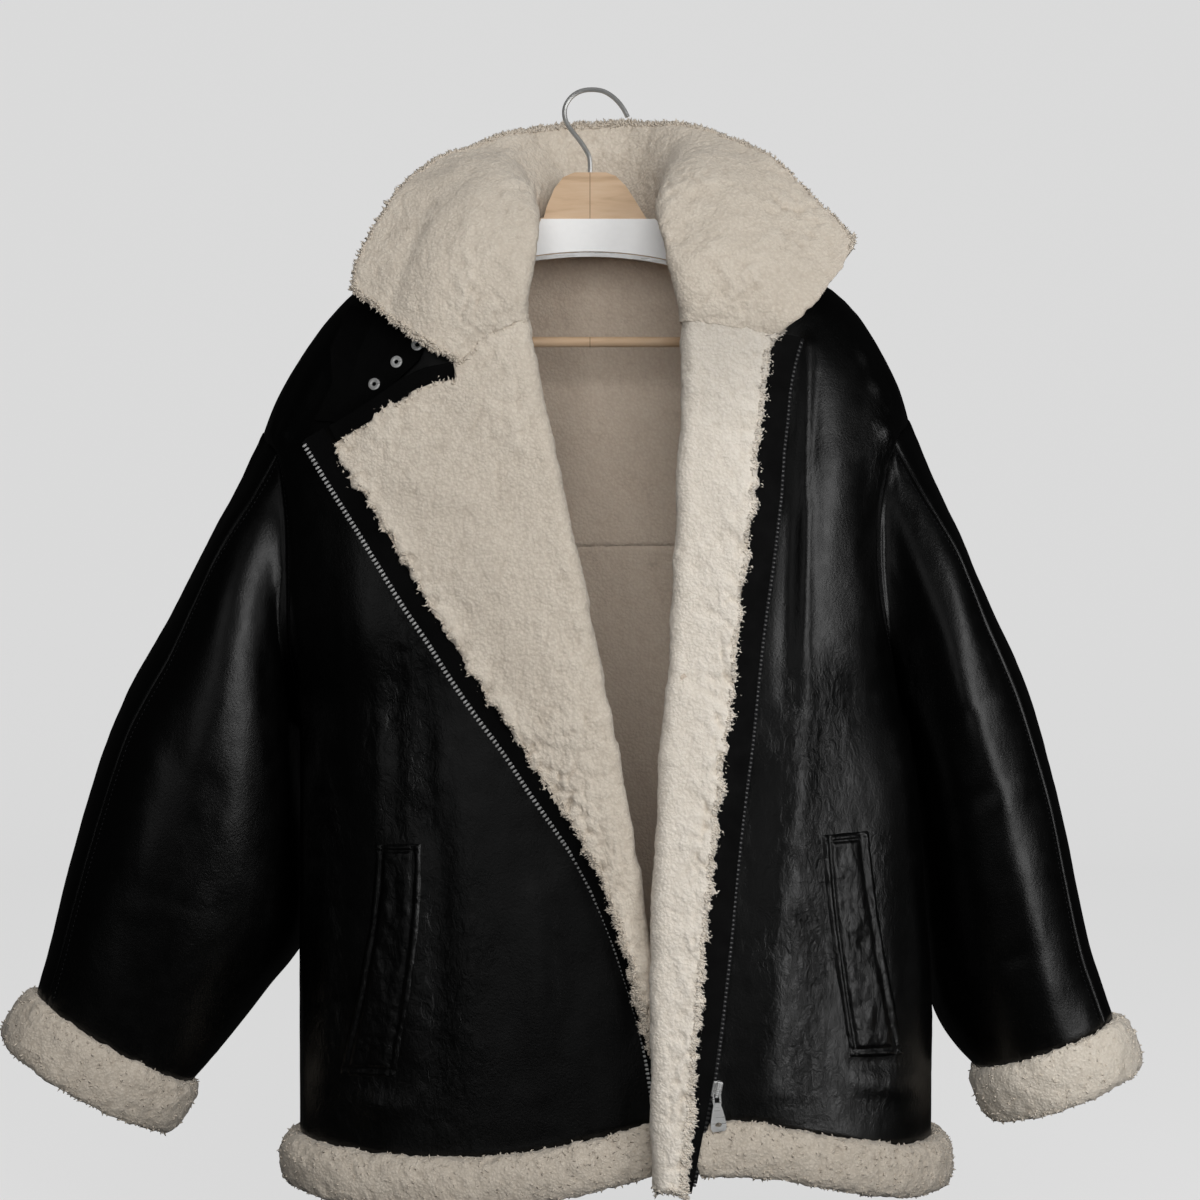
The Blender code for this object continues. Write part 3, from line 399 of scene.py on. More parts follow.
def fine_front(table, side, strip_width):
    rows = []
    for row in fine_rows:
        flap = finer(flap_keys(table, side, row, strip_width))
        turn = finer([0] + TURN_SHARES + [1])
        rows.append(
            [front_point(table, side, row, "body", s) for s in finer(BODY_SHARES)]
            + [front_point(table, side, row, "turn", s) for s in turn[1:]]
            + [front_point(table, side, row, "flap", s) for s in flap[1:]]
        )
    return np.array(rows)


def along_grid(values, at, axis):
    """Smooth reading of a grid at fractional places along one axis."""
    values = np.moveaxis(values, axis, 0)
    last = len(values) - 1
    slope = np.gradient(values, axis=0)
    i = np.clip(at.astype(int), 0, last - 1)
    s = (at - i).reshape(-1, *[1] * (values.ndim - 1))
    out = (
        (2 * s**3 - 3 * s**2 + 1) * values[i] + (s**3 - 2 * s**2 + s) * slope[i]
        + (3 * s**2 - 2 * s**3) * values[i + 1] + (s**3 - s**2) * slope[i + 1]
    )
    return np.moveaxis(out, 0, axis)


def places(points, axis, step, multiple=1):
    """Even places along an axis, about step millimetres apart, as fractional indices."""
    lengths = np.linalg.norm(np.diff(points, axis=axis), axis=2).mean(axis=1 - axis)
    lengths = lengths + 1e-3
    total = np.concatenate([[0], np.cumsum(lengths)])
    count = max(multiple * int(math.ceil(total[-1] / step / multiple)), multiple)
    return np.interp(np.linspace(0, total[-1], count + 1), total, np.arange(len(total)))


class Cloth:
    """A dense grid over a piece: points on the middle surface, directions to the leather, and how far each face stands off."""

    def __init__(self, points, directions, reach):
        self.p, self.n, self.reach = points, directions, reach

    @staticmethod
    def over(piece, step, rows=slice(None), columns=slice(None), multiple=1):
        p, n, reach = piece.points[rows, columns], piece.normals[rows, columns], piece.reach[rows, columns]
        stack = np.concatenate([p, n, reach], axis=2)
        a, b = places(p, 0, step, multiple), places(p, 1, step, multiple)
        stack = along_grid(along_grid(stack, a, 0), b, 1)
        n = stack[..., 3:6]
        n /= np.linalg.norm(n, axis=2, keepdims=True)
        return Cloth(stack[..., :3], n, np.maximum(stack[..., 6:8], 1))


# ---- noise

def hashed(ix, iy, iz, seed):
    h = (ix * 374761393 + iy * 668265263 + iz * 2147483647 + seed * 1274126177) & 0xFFFFFFFF
    h = ((h ^ (h >> 13)) * 1274126177) & 0xFFFFFFFF
    h = ((h ^ (h >> 16)) * 2246822519) & 0xFFFFFFFF
    return ((h ^ (h >> 15)) & 0xFFFFFF) / float(0xFFFFFF)


def noise(p, size, seed=0):
    """Smooth noise from -1 to 1, with bumps about size millimetres across."""
    q = np.asarray(p) / size
    i = np.floor(q).astype(np.int64)
    f = q - i
    f = f * f * f * (f * (f * 6 - 15) + 10)
    total = 0
    for dx in (0, 1):
        for dy in (0, 1):
            for dz in (0, 1):
                w = (f[..., 0] if dx else 1 - f[..., 0]) * (f[..., 1] if dy else 1 - f[..., 1]) * (f[..., 2] if dz else 1 - f[..., 2])
                total = total + w * hashed(i[..., 0] + dx, i[..., 1] + dy, i[..., 2] + dz, seed)
    return 2 * total - 1


def cells(p, size, seed=0):
    """Distance to the nearest of scattered points about size millimetres apart, from 0 to about 1."""
    q = np.asarray(p) / size
    i = np.floor(q).astype(np.int64)
    nearest = np.full(q.shape[:-1], 9.0)
    for dx in (-1, 0, 1):
        for dy in (-1, 0, 1):
            for dz in (-1, 0, 1):
                c = i + np.array([dx, dy, dz])
                spot = np.stack([c[..., k] + hashed(c[..., 0], c[..., 1], c[..., 2], seed + 7 * k + 1) for k in range(3)], axis=-1)
                nearest = np.minimum(nearest, ((spot - q) ** 2).sum(axis=-1))
    return np.sqrt(nearest)


def fleece(p, curl=4.6, seed=1):
    """Height of the curly wool from 0 to 1: clumps, curls and small curls, longer down the hide."""
    q = np.asarray(p) * np.array([1, 1, 0.74])
    warp = np.stack([noise(q, curl * 1.4, seed + 11 + k) for k in range(3)], axis=-1) * curl * 0.4
    clump = 1 - np.clip(cells(q + warp * 1.6, curl * 2.3, seed + 7), 0, 1) ** 1.6
    big = 1 - np.clip(cells(q + warp, curl, seed), 0, 1) ** 1.6
    small = 1 - np.clip(cells(q - warp, curl * 0.6, seed + 3), 0, 1) ** 1.6
    return np.clip(0.30 * clump + 0.44 * big + 0.26 * small, 0, 1)


# ---- the view of the photograph, for features given in its pixels

def view_x(p):
    return 600 + (p[..., 0] - 6.4) / (0.8 * (2200 + p[..., 1]) / 2200)


def view_y(p):
    return 600 - (p[..., 2] + 406.4) / (0.8 * (2200 + p[..., 1]) / 2200)


def creases(p, table):
    """Sum of ridges and furrows: rows of x0 y0 x1 y1 (pixels), width (pixels) and height (mm)."""
    x, y = view_x(p), view_y(p)
    total = np.zeros(x.shape)
    for x0, y0, x1, y1, width, height in table:
        d = np.array([x1 - x0, y1 - y0], float)
        length = max(np.hypot(*d), 1e-6)
        t = np.clip(((x - x0) * d[0] + (y - y0) * d[1]) / length**2, 0, 1)
        away = np.hypot(x - x0 - d[0] * t, y - y0 - d[1] * t)
        taper = 0.35 + 0.65 * np.sin(math.pi * np.clip(t * 0.8 + 0.1, 0, 1))
        total += height * taper * np.exp(-((away / width) ** 2))
    return total


# ---- meshes

def new_mesh(name, points, faces, materials, slots=None, layers=None):
    mesh = bpy.data.meshes.new(name)
    sizes = np.array([len(f) for f in faces])
    loops = np.concatenate([np.asarray(f) for f in faces]) if len(faces) else np.zeros(0)
    mesh.vertices.add(len(points))
    mesh.vertices.foreach_set("co", (np.asarray(points) * MM).astype(np.float32).ravel())
    mesh.loops.add(len(loops))
    mesh.loops.foreach_set("vertex_index", loops.astype(np.int32))
    mesh.polygons.add(len(sizes))
    mesh.polygons.foreach_set("loop_start", np.concatenate([[0], np.cumsum(sizes)[:-1]]).astype(np.int32))
    mesh.polygons.foreach_set("loop_total", sizes.astype(np.int32))
    if slots is not None:
        mesh.polygons.foreach_set("material_index", np.asarray(slots, np.int32))
    mesh.update(calc_edges=True)
    mesh.validate()
    mesh.shade_smooth()
    for layer, values in (layers or {}).items():
        made = mesh.attributes.new(layer, "FLOAT", "POINT")
        made.data.foreach_set("value", np.asarray(values, np.float32).ravel())
    obj = bpy.data.objects.new(name, mesh)
    bpy.context.scene.collection.objects.link(obj)
    for made in materials:
        mesh.materials.append(made)
    return obj


def quads(rows, columns, start=0, wrap=False, turn=False):
    index = start + np.arange(rows * columns).reshape(rows, columns)
    if wrap:
        index = np.concatenate([index, index[:, :1]], axis=1)
    a, b, c, d = index[:-1, :-1], index[:-1, 1:], index[1:, 1:], index[1:, :-1]
    found = np.stack([a, d, c, b] if turn else [a, b, c, d], axis=-1).reshape(-1, 4)
    return found


def rim(rows, columns):
    """Indices round a grid's border, in order."""
    index = np.arange(rows * columns).reshape(rows, columns)
    return np.concatenate([index[0, :-1], index[:-1, -1], index[-1, :0:-1], index[:0:-1, 0]])


def wall(name, outer, inner, materials, turn, layers=None):
    """A closed wall between two grids of the same size: slot 0 on the outer face, 1 on the inner face, 2 round its edge."""
    rows, columns = outer.shape[:2]
    count = rows * columns
    points = np.concatenate([outer.reshape(-1, 3), inner.reshape(-1, 3)])
    edge = rim(rows, columns)
    after = np.roll(edge, -1)
    sides = np.stack([edge, after, after + count, edge + count], axis=-1)
    if not turn:
        sides = sides[:, ::-1]
    faces = np.concatenate([quads(rows, columns, 0, turn=turn), quads(rows, columns, count, turn=not turn), sides])
    half = (rows - 1) * (columns - 1)
    slots = np.concatenate([np.zeros(half), np.ones(half), np.full(len(sides), 2)])
    return new_mesh(name, points, list(faces), materials, slots, layers)


def pelt(name, top, under, stride, materials, turn, layers=None):
    """A closed fleece: a dense top grid over an under side that has every stride-th point, joined round the edge."""
    rows, columns = top.shape[:2]
    under = under[::stride, ::stride]
    ur, uc = under.shape[:2]
    count = rows * columns
    points = np.concatenate([top.reshape(-1, 3), under.reshape(-1, 3)])
    dense, coarse = rim(rows, columns), rim(ur, uc) + count
    faces = list(quads(rows, columns, 0, turn=turn)) + list(quads(ur, uc, count, turn=not turn))
    slots = [0] * ((rows - 1) * (columns - 1)) + [1] * ((ur - 1) * (uc - 1))
    for i, (a, b) in enumerate(zip(coarse, np.roll(coarse, -1))):
        run = np.concatenate([dense, dense[:1]])[i * stride:(i + 1) * stride + 1]
        face = np.concatenate([run, [b, a]])
        faces.append(face if turn else face[::-1])
        slots.append(0)
    return new_mesh(name, points, faces, materials, slots, layers)


def edge_distance(points):
    """Distance of each grid point from the grid's four sides, in millimetres: (first row, last row, first column, last column)."""
    down = np.linalg.norm(np.diff(points, axis=0), axis=2)
    across = np.linalg.norm(np.diff(points, axis=1), axis=2)
    top = np.concatenate([np.zeros((1, points.shape[1])), np.cumsum(down, axis=0)])
    left = np.concatenate([np.zeros((points.shape[0], 1)), np.cumsum(across, axis=1)], axis=1)
    return top, top[-1:] - top, left, left[:, -1:] - left


def rounded(distance, width):
    """0 at an edge, 1 from width inwards, round between."""
    t = np.clip(distance / width, 0, 1)
    return np.sqrt(np.maximum(1 - (1 - t) ** 2, 0))


def on_view(points, directions, x, y):
    """The places of a grid, and their directions, that show at these pixels of the view."""
    px, py = view_x(points), view_y(points)
    rows, columns = px.shape
    shape = x.shape
    x, y = x.ravel(), y.ravel()
    near = np.array([np.argmin((px - a) ** 2 + (py - b) ** 2) for a, b in zip(x[::7], y[::7])])
    near = np.repeat(near, 7)[: len(x)]
    i, j = (near // columns).astype(float), (near % columns).astype(float)

    def read(values, i0, j0, s, t):
        return (values[i0, j0] * (1 - s) + values[i0 + 1, j0] * s) * (1 - t) + (values[i0, j0 + 1] * (1 - s) + values[i0 + 1, j0 + 1] * s) * t

    for _ in range(12):
        i0, j0 = np.clip(i.astype(int), 0, rows - 2), np.clip(j.astype(int), 0, columns - 2)
        s, t = i - i0, j - j0
        ex, ey = x - read(px, i0, j0, s, t), y - read(py, i0, j0, s, t)
        xi, yi = [(v[i0 + 1, j0] - v[i0, j0]) * (1 - t) + (v[i0 + 1, j0 + 1] - v[i0, j0 + 1]) * t for v in (px, py)]
        xj, yj = [(v[i0, j0 + 1] - v[i0, j0]) * (1 - s) + (v[i0 + 1, j0 + 1] - v[i0 + 1, j0]) * s for v in (px, py)]
        det = xi * yj - xj * yi
        det = np.where(np.abs(det) < 1e-6, 1e-6, det)
        i = np.clip(i + np.clip((ex * yj - ey * xj) / det, -3, 3), 0, rows - 1.001)
        j = np.clip(j + np.clip((ey * xi - ex * yi) / det, -3, 3), 0, columns - 1.001)
    i0, j0 = i.astype(int), j.astype(int)
    s, t = (i - i0)[:, None], (j - j0)[:, None]
    p, n = read(points, i0, j0, s, t), read(directions, i0, j0, s, t)
    n /= np.linalg.norm(n, axis=1, keepdims=True)
    return p.reshape(*shape, 3), n.reshape(*shape, 3)


def wisps(name, roots, ways, materials, seed, low=2.6, high=5.2, thick=0.62, tone=None):
    """Loose locks of wool: small curved horns, three-sided, each closed."""
    count = len(roots)
    ways = ways / np.linalg.norm(ways, axis=1, keepdims=True)
    order = np.arange(count)
    wild = np.stack([hashed(order, order * 3 + k, order * 0 + k, seed) * 2 - 1 for k in range(3)], axis=-1) + 1e-3
    side = np.cross(ways, wild)
    side /= np.maximum(np.linalg.norm(side, axis=1, keepdims=True), 1e-6)
    third = np.cross(ways, side)
    length = (low + (high - low) * hashed(order, order * 0, order * 5, seed + 3) ** 1.5)[:, None]
    radius = thick * (0.7 + 0.6 * hashed(order, order * 7, order * 0, seed + 5))[:, None]
    middle = roots + ways * length * 0.45 + side * length * 0.10
    tip = roots + ways * length * 0.78 + side * length * 0.45
    rings = []
    for centre, fat in ((roots - ways * 1.2, 1.0), (middle, 0.85)):
        for k in range(3):
            a = 2 * math.pi * k / 3
            rings.append(centre + (side * math.cos(a) + third * math.sin(a)) * radius * fat)
    points = np.stack(rings + [tip], axis=1).reshape(-1, 3)
    one = np.array([(0, 2, 1), (0, 1, 4), (0, 4, 3), (1, 2, 5), (1, 5, 4), (2, 0, 3), (2, 3, 5), (3, 4, 6), (4, 5, 6), (5, 3, 6)])
    faces = (one[None] + 7 * order[:, None, None]).reshape(-1, 3)
    # each lock is painted darker at its root than at its tip: painted shade where it leaves the pile
    lay = np.tile(np.array([0.7, 0.7, 0.7, 0.8, 0.8, 0.8, 0.9]), count)
    layers = {"lay": lay}
    if tone is not None:
        layers["tone"] = np.repeat(tone, 7)
    obj = new_mesh(name, points, list(faces), materials, None, layers)
    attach(obj, "jacket")
    return obj


def picked(mask, count, seed):
    """Indices of that many grid places, spread over the places where mask is true."""
    where = np.flatnonzero(mask.ravel())
    order = np.arange(count)
    return where[(hashed(order, order * 3 + 1, order * 0 + 2, seed) * (len(where) - 1)).astype(int)]


# ---- materials

class Nodes:
    """A short way to write a material's node tree."""

    def __init__(self, name):
        self.made = bpy.data.materials.new(name)
        self.made.use_nodes = True
        self.tree = self.made.node_tree
        self.shader = self.tree.nodes["Principled BSDF"]
        self.where = self.add("ShaderNodeTexCoord").outputs["Object"]

    def add(self, kind, **settings):
        node = self.tree.nodes.new(kind)
        for key, value in settings.items():
            if key in node.inputs:
                node.inputs[key].default_value = value
            else:
                setattr(node, key, value)
        return node

    def link(self, source, node, socket):
        self.tree.links.new(source, node.inputs[socket])

    def stretched(self, scale, turn=(0, 0, 0)):
        node = self.add("ShaderNodeMapping")
        node.inputs["Scale"].default_value = scale
        node.inputs["Rotation"].default_value = turn
        self.link(self.where, node, "Vector")
        return node.outputs["Vector"]

    def noise(self, scale, detail=3.0, rough=0.55, distort=0.0, at=None):
        node = self.add("ShaderNodeTexNoise")
        node.inputs["Scale"].default_value = scale
        node.inputs["Detail"].default_value = detail
        node.inputs["Roughness"].default_value = rough
        node.inputs["Distortion"].default_value = distort
        self.link(at or self.where, node, "Vector")
        return node.outputs["Fac"]

    def cells(self, scale, feature="F1", at=None, randomness=1.0):
        node = self.add("ShaderNodeTexVoronoi", feature=feature)
        node.inputs["Scale"].default_value = scale
        node.inputs["Randomness"].default_value = randomness
        self.link(at or self.where, node, "Vector")
        return node.outputs["Distance"]

    def layer(self, name):
        return self.add("ShaderNodeAttribute", attribute_name=name).outputs["Fac"]

    def ramp(self, source, stops):
        node = self.add("ShaderNodeValToRGB")
        ramp = node.color_ramp
        while len(ramp.elements) < len(stops):
            ramp.elements.new(0.5)
        for element, (at, colour) in zip(ramp.elements, stops):
            element.position = at
            element.color = (*colour, 1.0)
        self.link(source, node, "Fac")
        return node.outputs["Color"]

    def spread(self, source, low, high, out_low, out_high):
        node = self.add("ShaderNodeMapRange")
        for key, value in (("From Min", low), ("From Max", high), ("To Min", out_low), ("To Max", out_high)):
            node.inputs[key].default_value = value
        self.link(source, node, "Value")
        return node.outputs["Result"]

    def maths(self, operation, a, b):
        node = self.add("ShaderNodeMath", operation=operation)
        for i, value in enumerate((a, b)):
            if isinstance(value, (int, float)):
                node.inputs[i].default_value = value
            else:
                self.tree.links.new(value, node.inputs[i])
        return node.outputs[0]

    def mixed(self, factor, a, b, blend="MIX"):
        node = self.add("ShaderNodeMix", data_type="RGBA", blend_type=blend)
        for name, value in (("Factor", factor), ("A", a), ("B", b)):
            sockets = [s for s in node.inputs if s.name == name and s.type == ("VALUE" if name == "Factor" else "RGBA")]
            if isinstance(value, (int, float)):
                sockets[0].default_value = value
            elif isinstance(value, tuple):
                sockets[0].default_value = (*value, 1.0)
            else:
                self.tree.links.new(value, sockets[0])
        return [s for s in node.outputs if s.type == "RGBA"][0]

    def bump(self, height, strength, distance, normal=None):
        node = self.add("ShaderNodeBump")
        node.inputs["Strength"].default_value = strength
        node.inputs["Distance"].default_value = distance
        self.link(height, node, "Height")
        if normal is not None:
            self.link(normal, node, "Normal")
        return node.outputs["Normal"]

    def done(self, colour=None, rough=None, normal=None, **constants):
        for socket, value in (("Base Color", colour), ("Roughness", rough), ("Normal", normal)):
            if value is None:
                continue
            if isinstance(value, (int, float)):
                self.shader.inputs[socket].default_value = value
            elif isinstance(value, tuple):
                self.shader.inputs[socket].default_value = (*value, 1.0)
            else:
                self.link(value, self.shader, socket)
        for key, value in constants.items():
            self.shader.inputs[key.replace("_", " ")].default_value = value
        return self.made


def leather(name, dark, light, rough_low, rough_high, specular, grain=1.0):
    m = Nodes(name)
    cloud = m.noise(16, 3, 0.6)
    pebbles = m.cells(620, "SMOOTH_F1")
    lines = m.cells(300, "DISTANCE_TO_EDGE")
    veins = m.noise(230, 4, 0.6, 0.6)
    drawn = m.noise(1, 5, 0.62, 0.9, m.stretched((150, 150, 85), (0, 0.2, 0)))
    crumple = m.layer("crumple")
    colour = m.mixed(m.spread(cloud, 0.35, 0.7, 0, 1), dark, light)
    rough = m.spread(m.noise(60, 4, 0.6), 0.3, 0.7, rough_low, rough_high)
    normal = m.bump(m.maths("MULTIPLY", drawn, crumple), 0.65 * grain, 0.0042)
    normal = m.bump(pebbles, 0.14 * grain, 0.0005, normal)
    normal = m.bump(m.spread(lines, 0.0, 0.12, 0, 1), 0.09 * grain, 0.0003, normal)
    normal = m.bump(veins, 0.16 * grain, 0.0006, normal)
    return m.done(colour, rough, normal, Specular_IOR_Level=specular)


def wool(name, deep, mid, tip, height=1.0, painted_light_tone=False):
    m = Nodes(name)
    lay = m.layer("lay")
    swirl = m.add("ShaderNodeVectorMath", operation="ADD")
    wander = m.add("ShaderNodeTexNoise", Scale=260.0, Detail=2.0)
    m.link(m.where, wander, "Vector")
    shrunk = m.add("ShaderNodeVectorMath", operation="SCALE")
    shrunk.inputs["Scale"].default_value = 0.0035
    m.link(wander.outputs["Color"], shrunk, 0)
    m.tree.links.new(m.where, swirl.inputs[0])
    m.tree.links.new(shrunk.outputs[0], swirl.inputs[1])
    bent = swirl.outputs[0]
    fine = m.noise(700, 3, 0.6, 1.5)
    knots = m.spread(m.cells(400, "F1", bent), 0.1, 0.75, 1.0, 0.0)
    # the colour is painted darker where the pile is low and towards the edges of the knots, painted shade in the
    # hollows between the curls, and lighter on the tips
    mixed = m.maths("ADD", m.maths("MULTIPLY", lay, 0.50), m.maths("ADD", m.maths("MULTIPLY", knots, 0.30), m.maths("MULTIPLY", fine, 0.20)))
    colour = m.ramp(mixed, [(0.12, deep), (0.40, mid), (0.75, tip)])
    stain = m.spread(m.noise(14, 3, 0.6), 0.35, 0.75, 0.0, 0.25)
    colour = m.mixed(stain, colour, tuple(c * 0.90 for c in mid), "MIX")
    # on a painted-light copy the colour is multiplied by the tone layer
    if painted_light_tone:
        colour = m.mixed(1.0, colour, m.layer("tone"), "MULTIPLY")
    normal = m.bump(knots, 0.32 * height, 0.0018)
    normal = m.bump(fine, 0.30 * height, 0.0009, normal)
    return m.done(colour, 0.96, normal, Specular_IOR_Level=0.10, Sheen_Weight=0.18, Sheen_Roughness=0.55)


BLACK = leather("leather_black", (0.0002, 0.0002, 0.0002), (0.0006, 0.0007, 0.0007), 0.33, 0.42, 0.50)
MATT = leather("leather_matt", (0.0012, 0.0012, 0.0012), (0.0022, 0.0022, 0.0023), 0.62, 0.76, 0.14, 0.7)
# the cut edge of the leather; the same dull leather is also laid as painted shade along the sleeves' underarm seams
CUT_AND_SHADE = leather("leather_cut_and_shade", (0.0016, 0.0016, 0.0016), (0.0034, 0.0031, 0.0028), 0.7, 0.85, 0.10)
FLEECE = wool("wool_fleece", (0.43, 0.365, 0.29), (0.615, 0.538, 0.447), (0.735, 0.66, 0.56))
LINING = wool("wool_lining", (0.48, 0.39, 0.31), (0.64, 0.53, 0.43), (0.72, 0.62, 0.51))
# the band's wool is a lighter copy of the fleece: painted light, where the lamp falls more strongly on the band
LIT_BAND = wool("wool_band", (0.58, 0.51, 0.425), (0.80, 0.725, 0.625), (0.90, 0.83, 0.735), painted_light_tone=True)
TRIM = wool("wool_trim", (0.38, 0.32, 0.26), (0.53, 0.465, 0.385), (0.66, 0.59, 0.50))
# a lighter copy of the trim: painted light for the left cuff, on which the lamp falls more strongly
TRIM_LIT = wool("wool_trim_lit", (0.52, 0.45, 0.375), (0.72, 0.645, 0.545), (0.85, 0.775, 0.67))


# ---- the sewn pieces

front_right = Piece(fine_front(RIGHT, -1, STRIP_WIDTH_RIGHT), flip=False)
front_left = Piece(fine_front(LEFT, 1, STRIP_WIDTH_LEFT), flip=True)
yoke = ROWS.index(YOKE_ROW) * FINER
back_grid = grid(back_point, fine_rows, finer(BACK_SHARES))
back_yoke = Piece(back_grid[: yoke + 1], flip=True)
back_lower = Piece(back_grid[yoke:], flip=True)

around = [(r - 5) / 10 for r in fine_rows if 5 - 1e-9 <= r <= 10 + 1e-9]
ring_front = [t for t in around if t >= SLEEVE_SEAM - 1e-6]
ring_back = [1 - t for t in reversed(around)] + [1 + t for t in around if 0 < t <= SLEEVE_SEAM + 1e-6]


def sleeve_piece(sleeve, front, turns, flip):
    return Piece(grid(lambda along, turn: sleeve_point(sleeve, front, along, turn), finer(ALONG), turns), flip)


sleeve_right_front = sleeve_piece(SLEEVE_RIGHT, RIGHT, ring_front, False)
sleeve_right_back = sleeve_piece(SLEEVE_RIGHT, RIGHT, ring_back, False)
sleeve_left_front = sleeve_piece(SLEEVE_LEFT, LEFT, ring_front, True)
sleeve_left_back = sleeve_piece(SLEEVE_LEFT, LEFT, ring_back, True)

half_stations = np.concatenate([
    finer([0, 0.425, 0.85]),
    finer([0.85] + [0.85 + 0.3 * (1 - s) for s in reversed(TURN_SHARES)] + [1.15])[1:],
    finer([1.15 + 0.85 * (1 - s) for s in reversed(BODY_SHARES)])[1:],
])
back_stations = 2 + 2 * finer(BACK_SHARES)
stations = np.concatenate([half_stations[:-1], back_stations, (6 - half_stations[:-1])[::-1]])
collar = Piece(grid(collar_point, stations, finer([0, 0.12, 0.3, 0.46, 0.62, 0.8, 1])), flip=True)

SEAM_GAP = -0.5
sew([front_right, front_left, back_yoke, back_lower, sleeve_right_front, sleeve_right_back, sleeve_left_front, sleeve_left_back, collar])


# ---- leather shells

# furrows and ridges seen in the leather: x0 y0 x1 y1 in pixels of the view, width in pixels, height in millimetres
FOLDS_RIGHT = [
    (330, 355, 290, 430, 9, 2.4), (276, 426, 272, 444, 5, 2.6), (287, 430, 284, 442, 5, 2.6),
    (300, 690, 304, 722, 9, 3.4), (322, 738, 336, 830, 7, 2.2), (300, 600, 306, 680, 7, 1.6),
    (362, 480, 368, 760, 30, 4.2), (345, 620, 350, 760, 4.5, 0.7), (384, 655, 380, 840, 5, 0.9), (398, 650, 396, 830, 5, -0.9),
    (412, 660, 412, 840, 6, 1.0), (428, 700, 430, 860, 6, -0.9),
    (322, 795, 350, 797, 5, -1.2), (318, 857, 348, 859, 6, -2.0), (318, 905, 348, 906, 5, -1.0), (318, 950, 348, 951, 5, -1.0), (316, 1002, 346, 1002, 5, -1.2),
    (352, 1100, 398, 1104, 13, 3.2), (420, 860, 412, 1050, 15, 2.4), (440, 800, 438, 1080, 12, -1.2), (470, 820, 468, 1080, 18, 1.6),
    (540, 900, 545, 1090, 16, 1.4), (332, 860, 326, 1080, 11, 2.2),
    (246, 520, 196, 760, 22, 2.6), (215, 620, 262, 660, 12, -0.4), (165, 750, 232, 800, 14, -0.5),
    (120, 880, 200, 910, 12, -0.4), (168, 720, 130, 900, 22, 2.0),
    (262, 640, 268, 760, 8, -1.4),
]
FOLDS_LEFT = [
    (806, 345, 801, 700, 6, 2.8), (790, 520, 782, 700, 8, -2.0), (813, 376, 807, 498, 3.2, -1.4), (838, 380, 832, 560, 20, 2.2),
    (858, 352, 866, 366, 5, 2.2), (870, 382, 878, 396, 5, 2.4), (880, 424, 886, 440, 6, 3.2), (888, 448, 894, 468, 5, 2.2),
    (915, 690, 908, 840, 34, 6.5), (868, 470, 880, 640, 14, -3.0), (842, 640, 880, 690, 16, 2.0), (898, 672, 908, 690, 5, 2.4),
    (800, 700, 792, 860, 11, 1.6), (822, 720, 816, 830, 7, -1.0), (802, 690, 774, 1085, 32, 7.5), (816, 360, 806, 690, 28, 4.5),
    (858, 1082, 904, 1086, 13, 3.4), (912, 860, 920, 1060, 9, 2.2), (850, 1062, 900, 1062, 6, -1.4),
    (888, 483, 940, 620, 13, 2.6), (946, 640, 1004, 800, 16, 2.6), (1004, 800, 1046, 980, 18, 2.2),
    (985, 700, 930, 742, 10, -1.2), (1008, 780, 950, 812, 10, -1.2), (1040, 950, 985, 962, 9, -1.0),
]


def wrinkled(cloth, folds, amount=1.0):
    """How far the leather face moves out: the folds, then soft unevenness and fine creasing."""
    p = cloth.p
    facing = np.clip(-cloth.n[..., 1] * 1.6 + 0.25, 0, 1)
    soft = 0.9 * noise(p * np.array([1.5, 1, 0.5]), 58, 5) + 0.38 * noise(p * np.array([1.4, 1, 0.6]), 24, 6)
    fine = 0.10 * noise(p * np.array([1.2, 1, 0.8]), 9.5, 7)
    return amount * (soft + fine) + facing * creases(p, folds)


def seamed(cloth, sides, depth=1.5, width=5.5):
    """The leather draws in at its seams: sides names which of the grid's four sides are sewn."""
    total = np.zeros(cloth.p.shape[:2])
    for distance, sewn in zip(edge_distance(cloth.p), sides):
        if sewn:
            total = np.maximum(total, np.exp(-((distance / (width * 0.55)) ** 2)) * depth - 0.45 * depth * np.exp(-(((distance - width) / (width * 0.6)) ** 2)))
    return -total


def faded(cloth, width=7):
    """Unevenness fades out at every border, so that neighbours still meet."""
    d = edge_distance(cloth.p)
    return np.clip(np.minimum.reduce(d) / width, 0, 1)


def eased(cloth, rounds=30):
    """The same cloth with sharp changes down its length eased; its borders stay where they are."""
    stack = np.concatenate([cloth.p, cloth.n, cloth.reach], axis=2)
    soft = stack.copy()
    for _ in range(rounds):
        soft[1:-1] = (soft[:-2] + 2 * soft[1:-1] + soft[2:]) / 4
    keep = np.clip(np.minimum.reduce(edge_distance(cloth.p)) / 25.0, 0, 1)[..., None]
    keep = keep * keep * (3 - 2 * keep)
    out = stack + (soft - stack) * keep
    n = out[..., 3:6] / np.linalg.norm(out[..., 3:6], axis=2, keepdims=True)
    return Cloth(out[..., :3], n, out[..., 6:8])


def underarm(cloth, side):
    """The sleeve presses against the body just below the armhole: side says which border is the underarm seam."""
    d = edge_distance(cloth.p)
    return np.exp(-((d[side] / 26.0) ** 2)) * smooth_window(d[0], 4, 16, 60, 120)


def smooth_window(value, a, b, c, d):
    up, down = np.clip((value - a) / (b - a), 0, 1), np.clip((d - value) / (d - c), 0, 1)
    return up * up * (3 - 2 * up) * down * down * (3 - 2 * down)


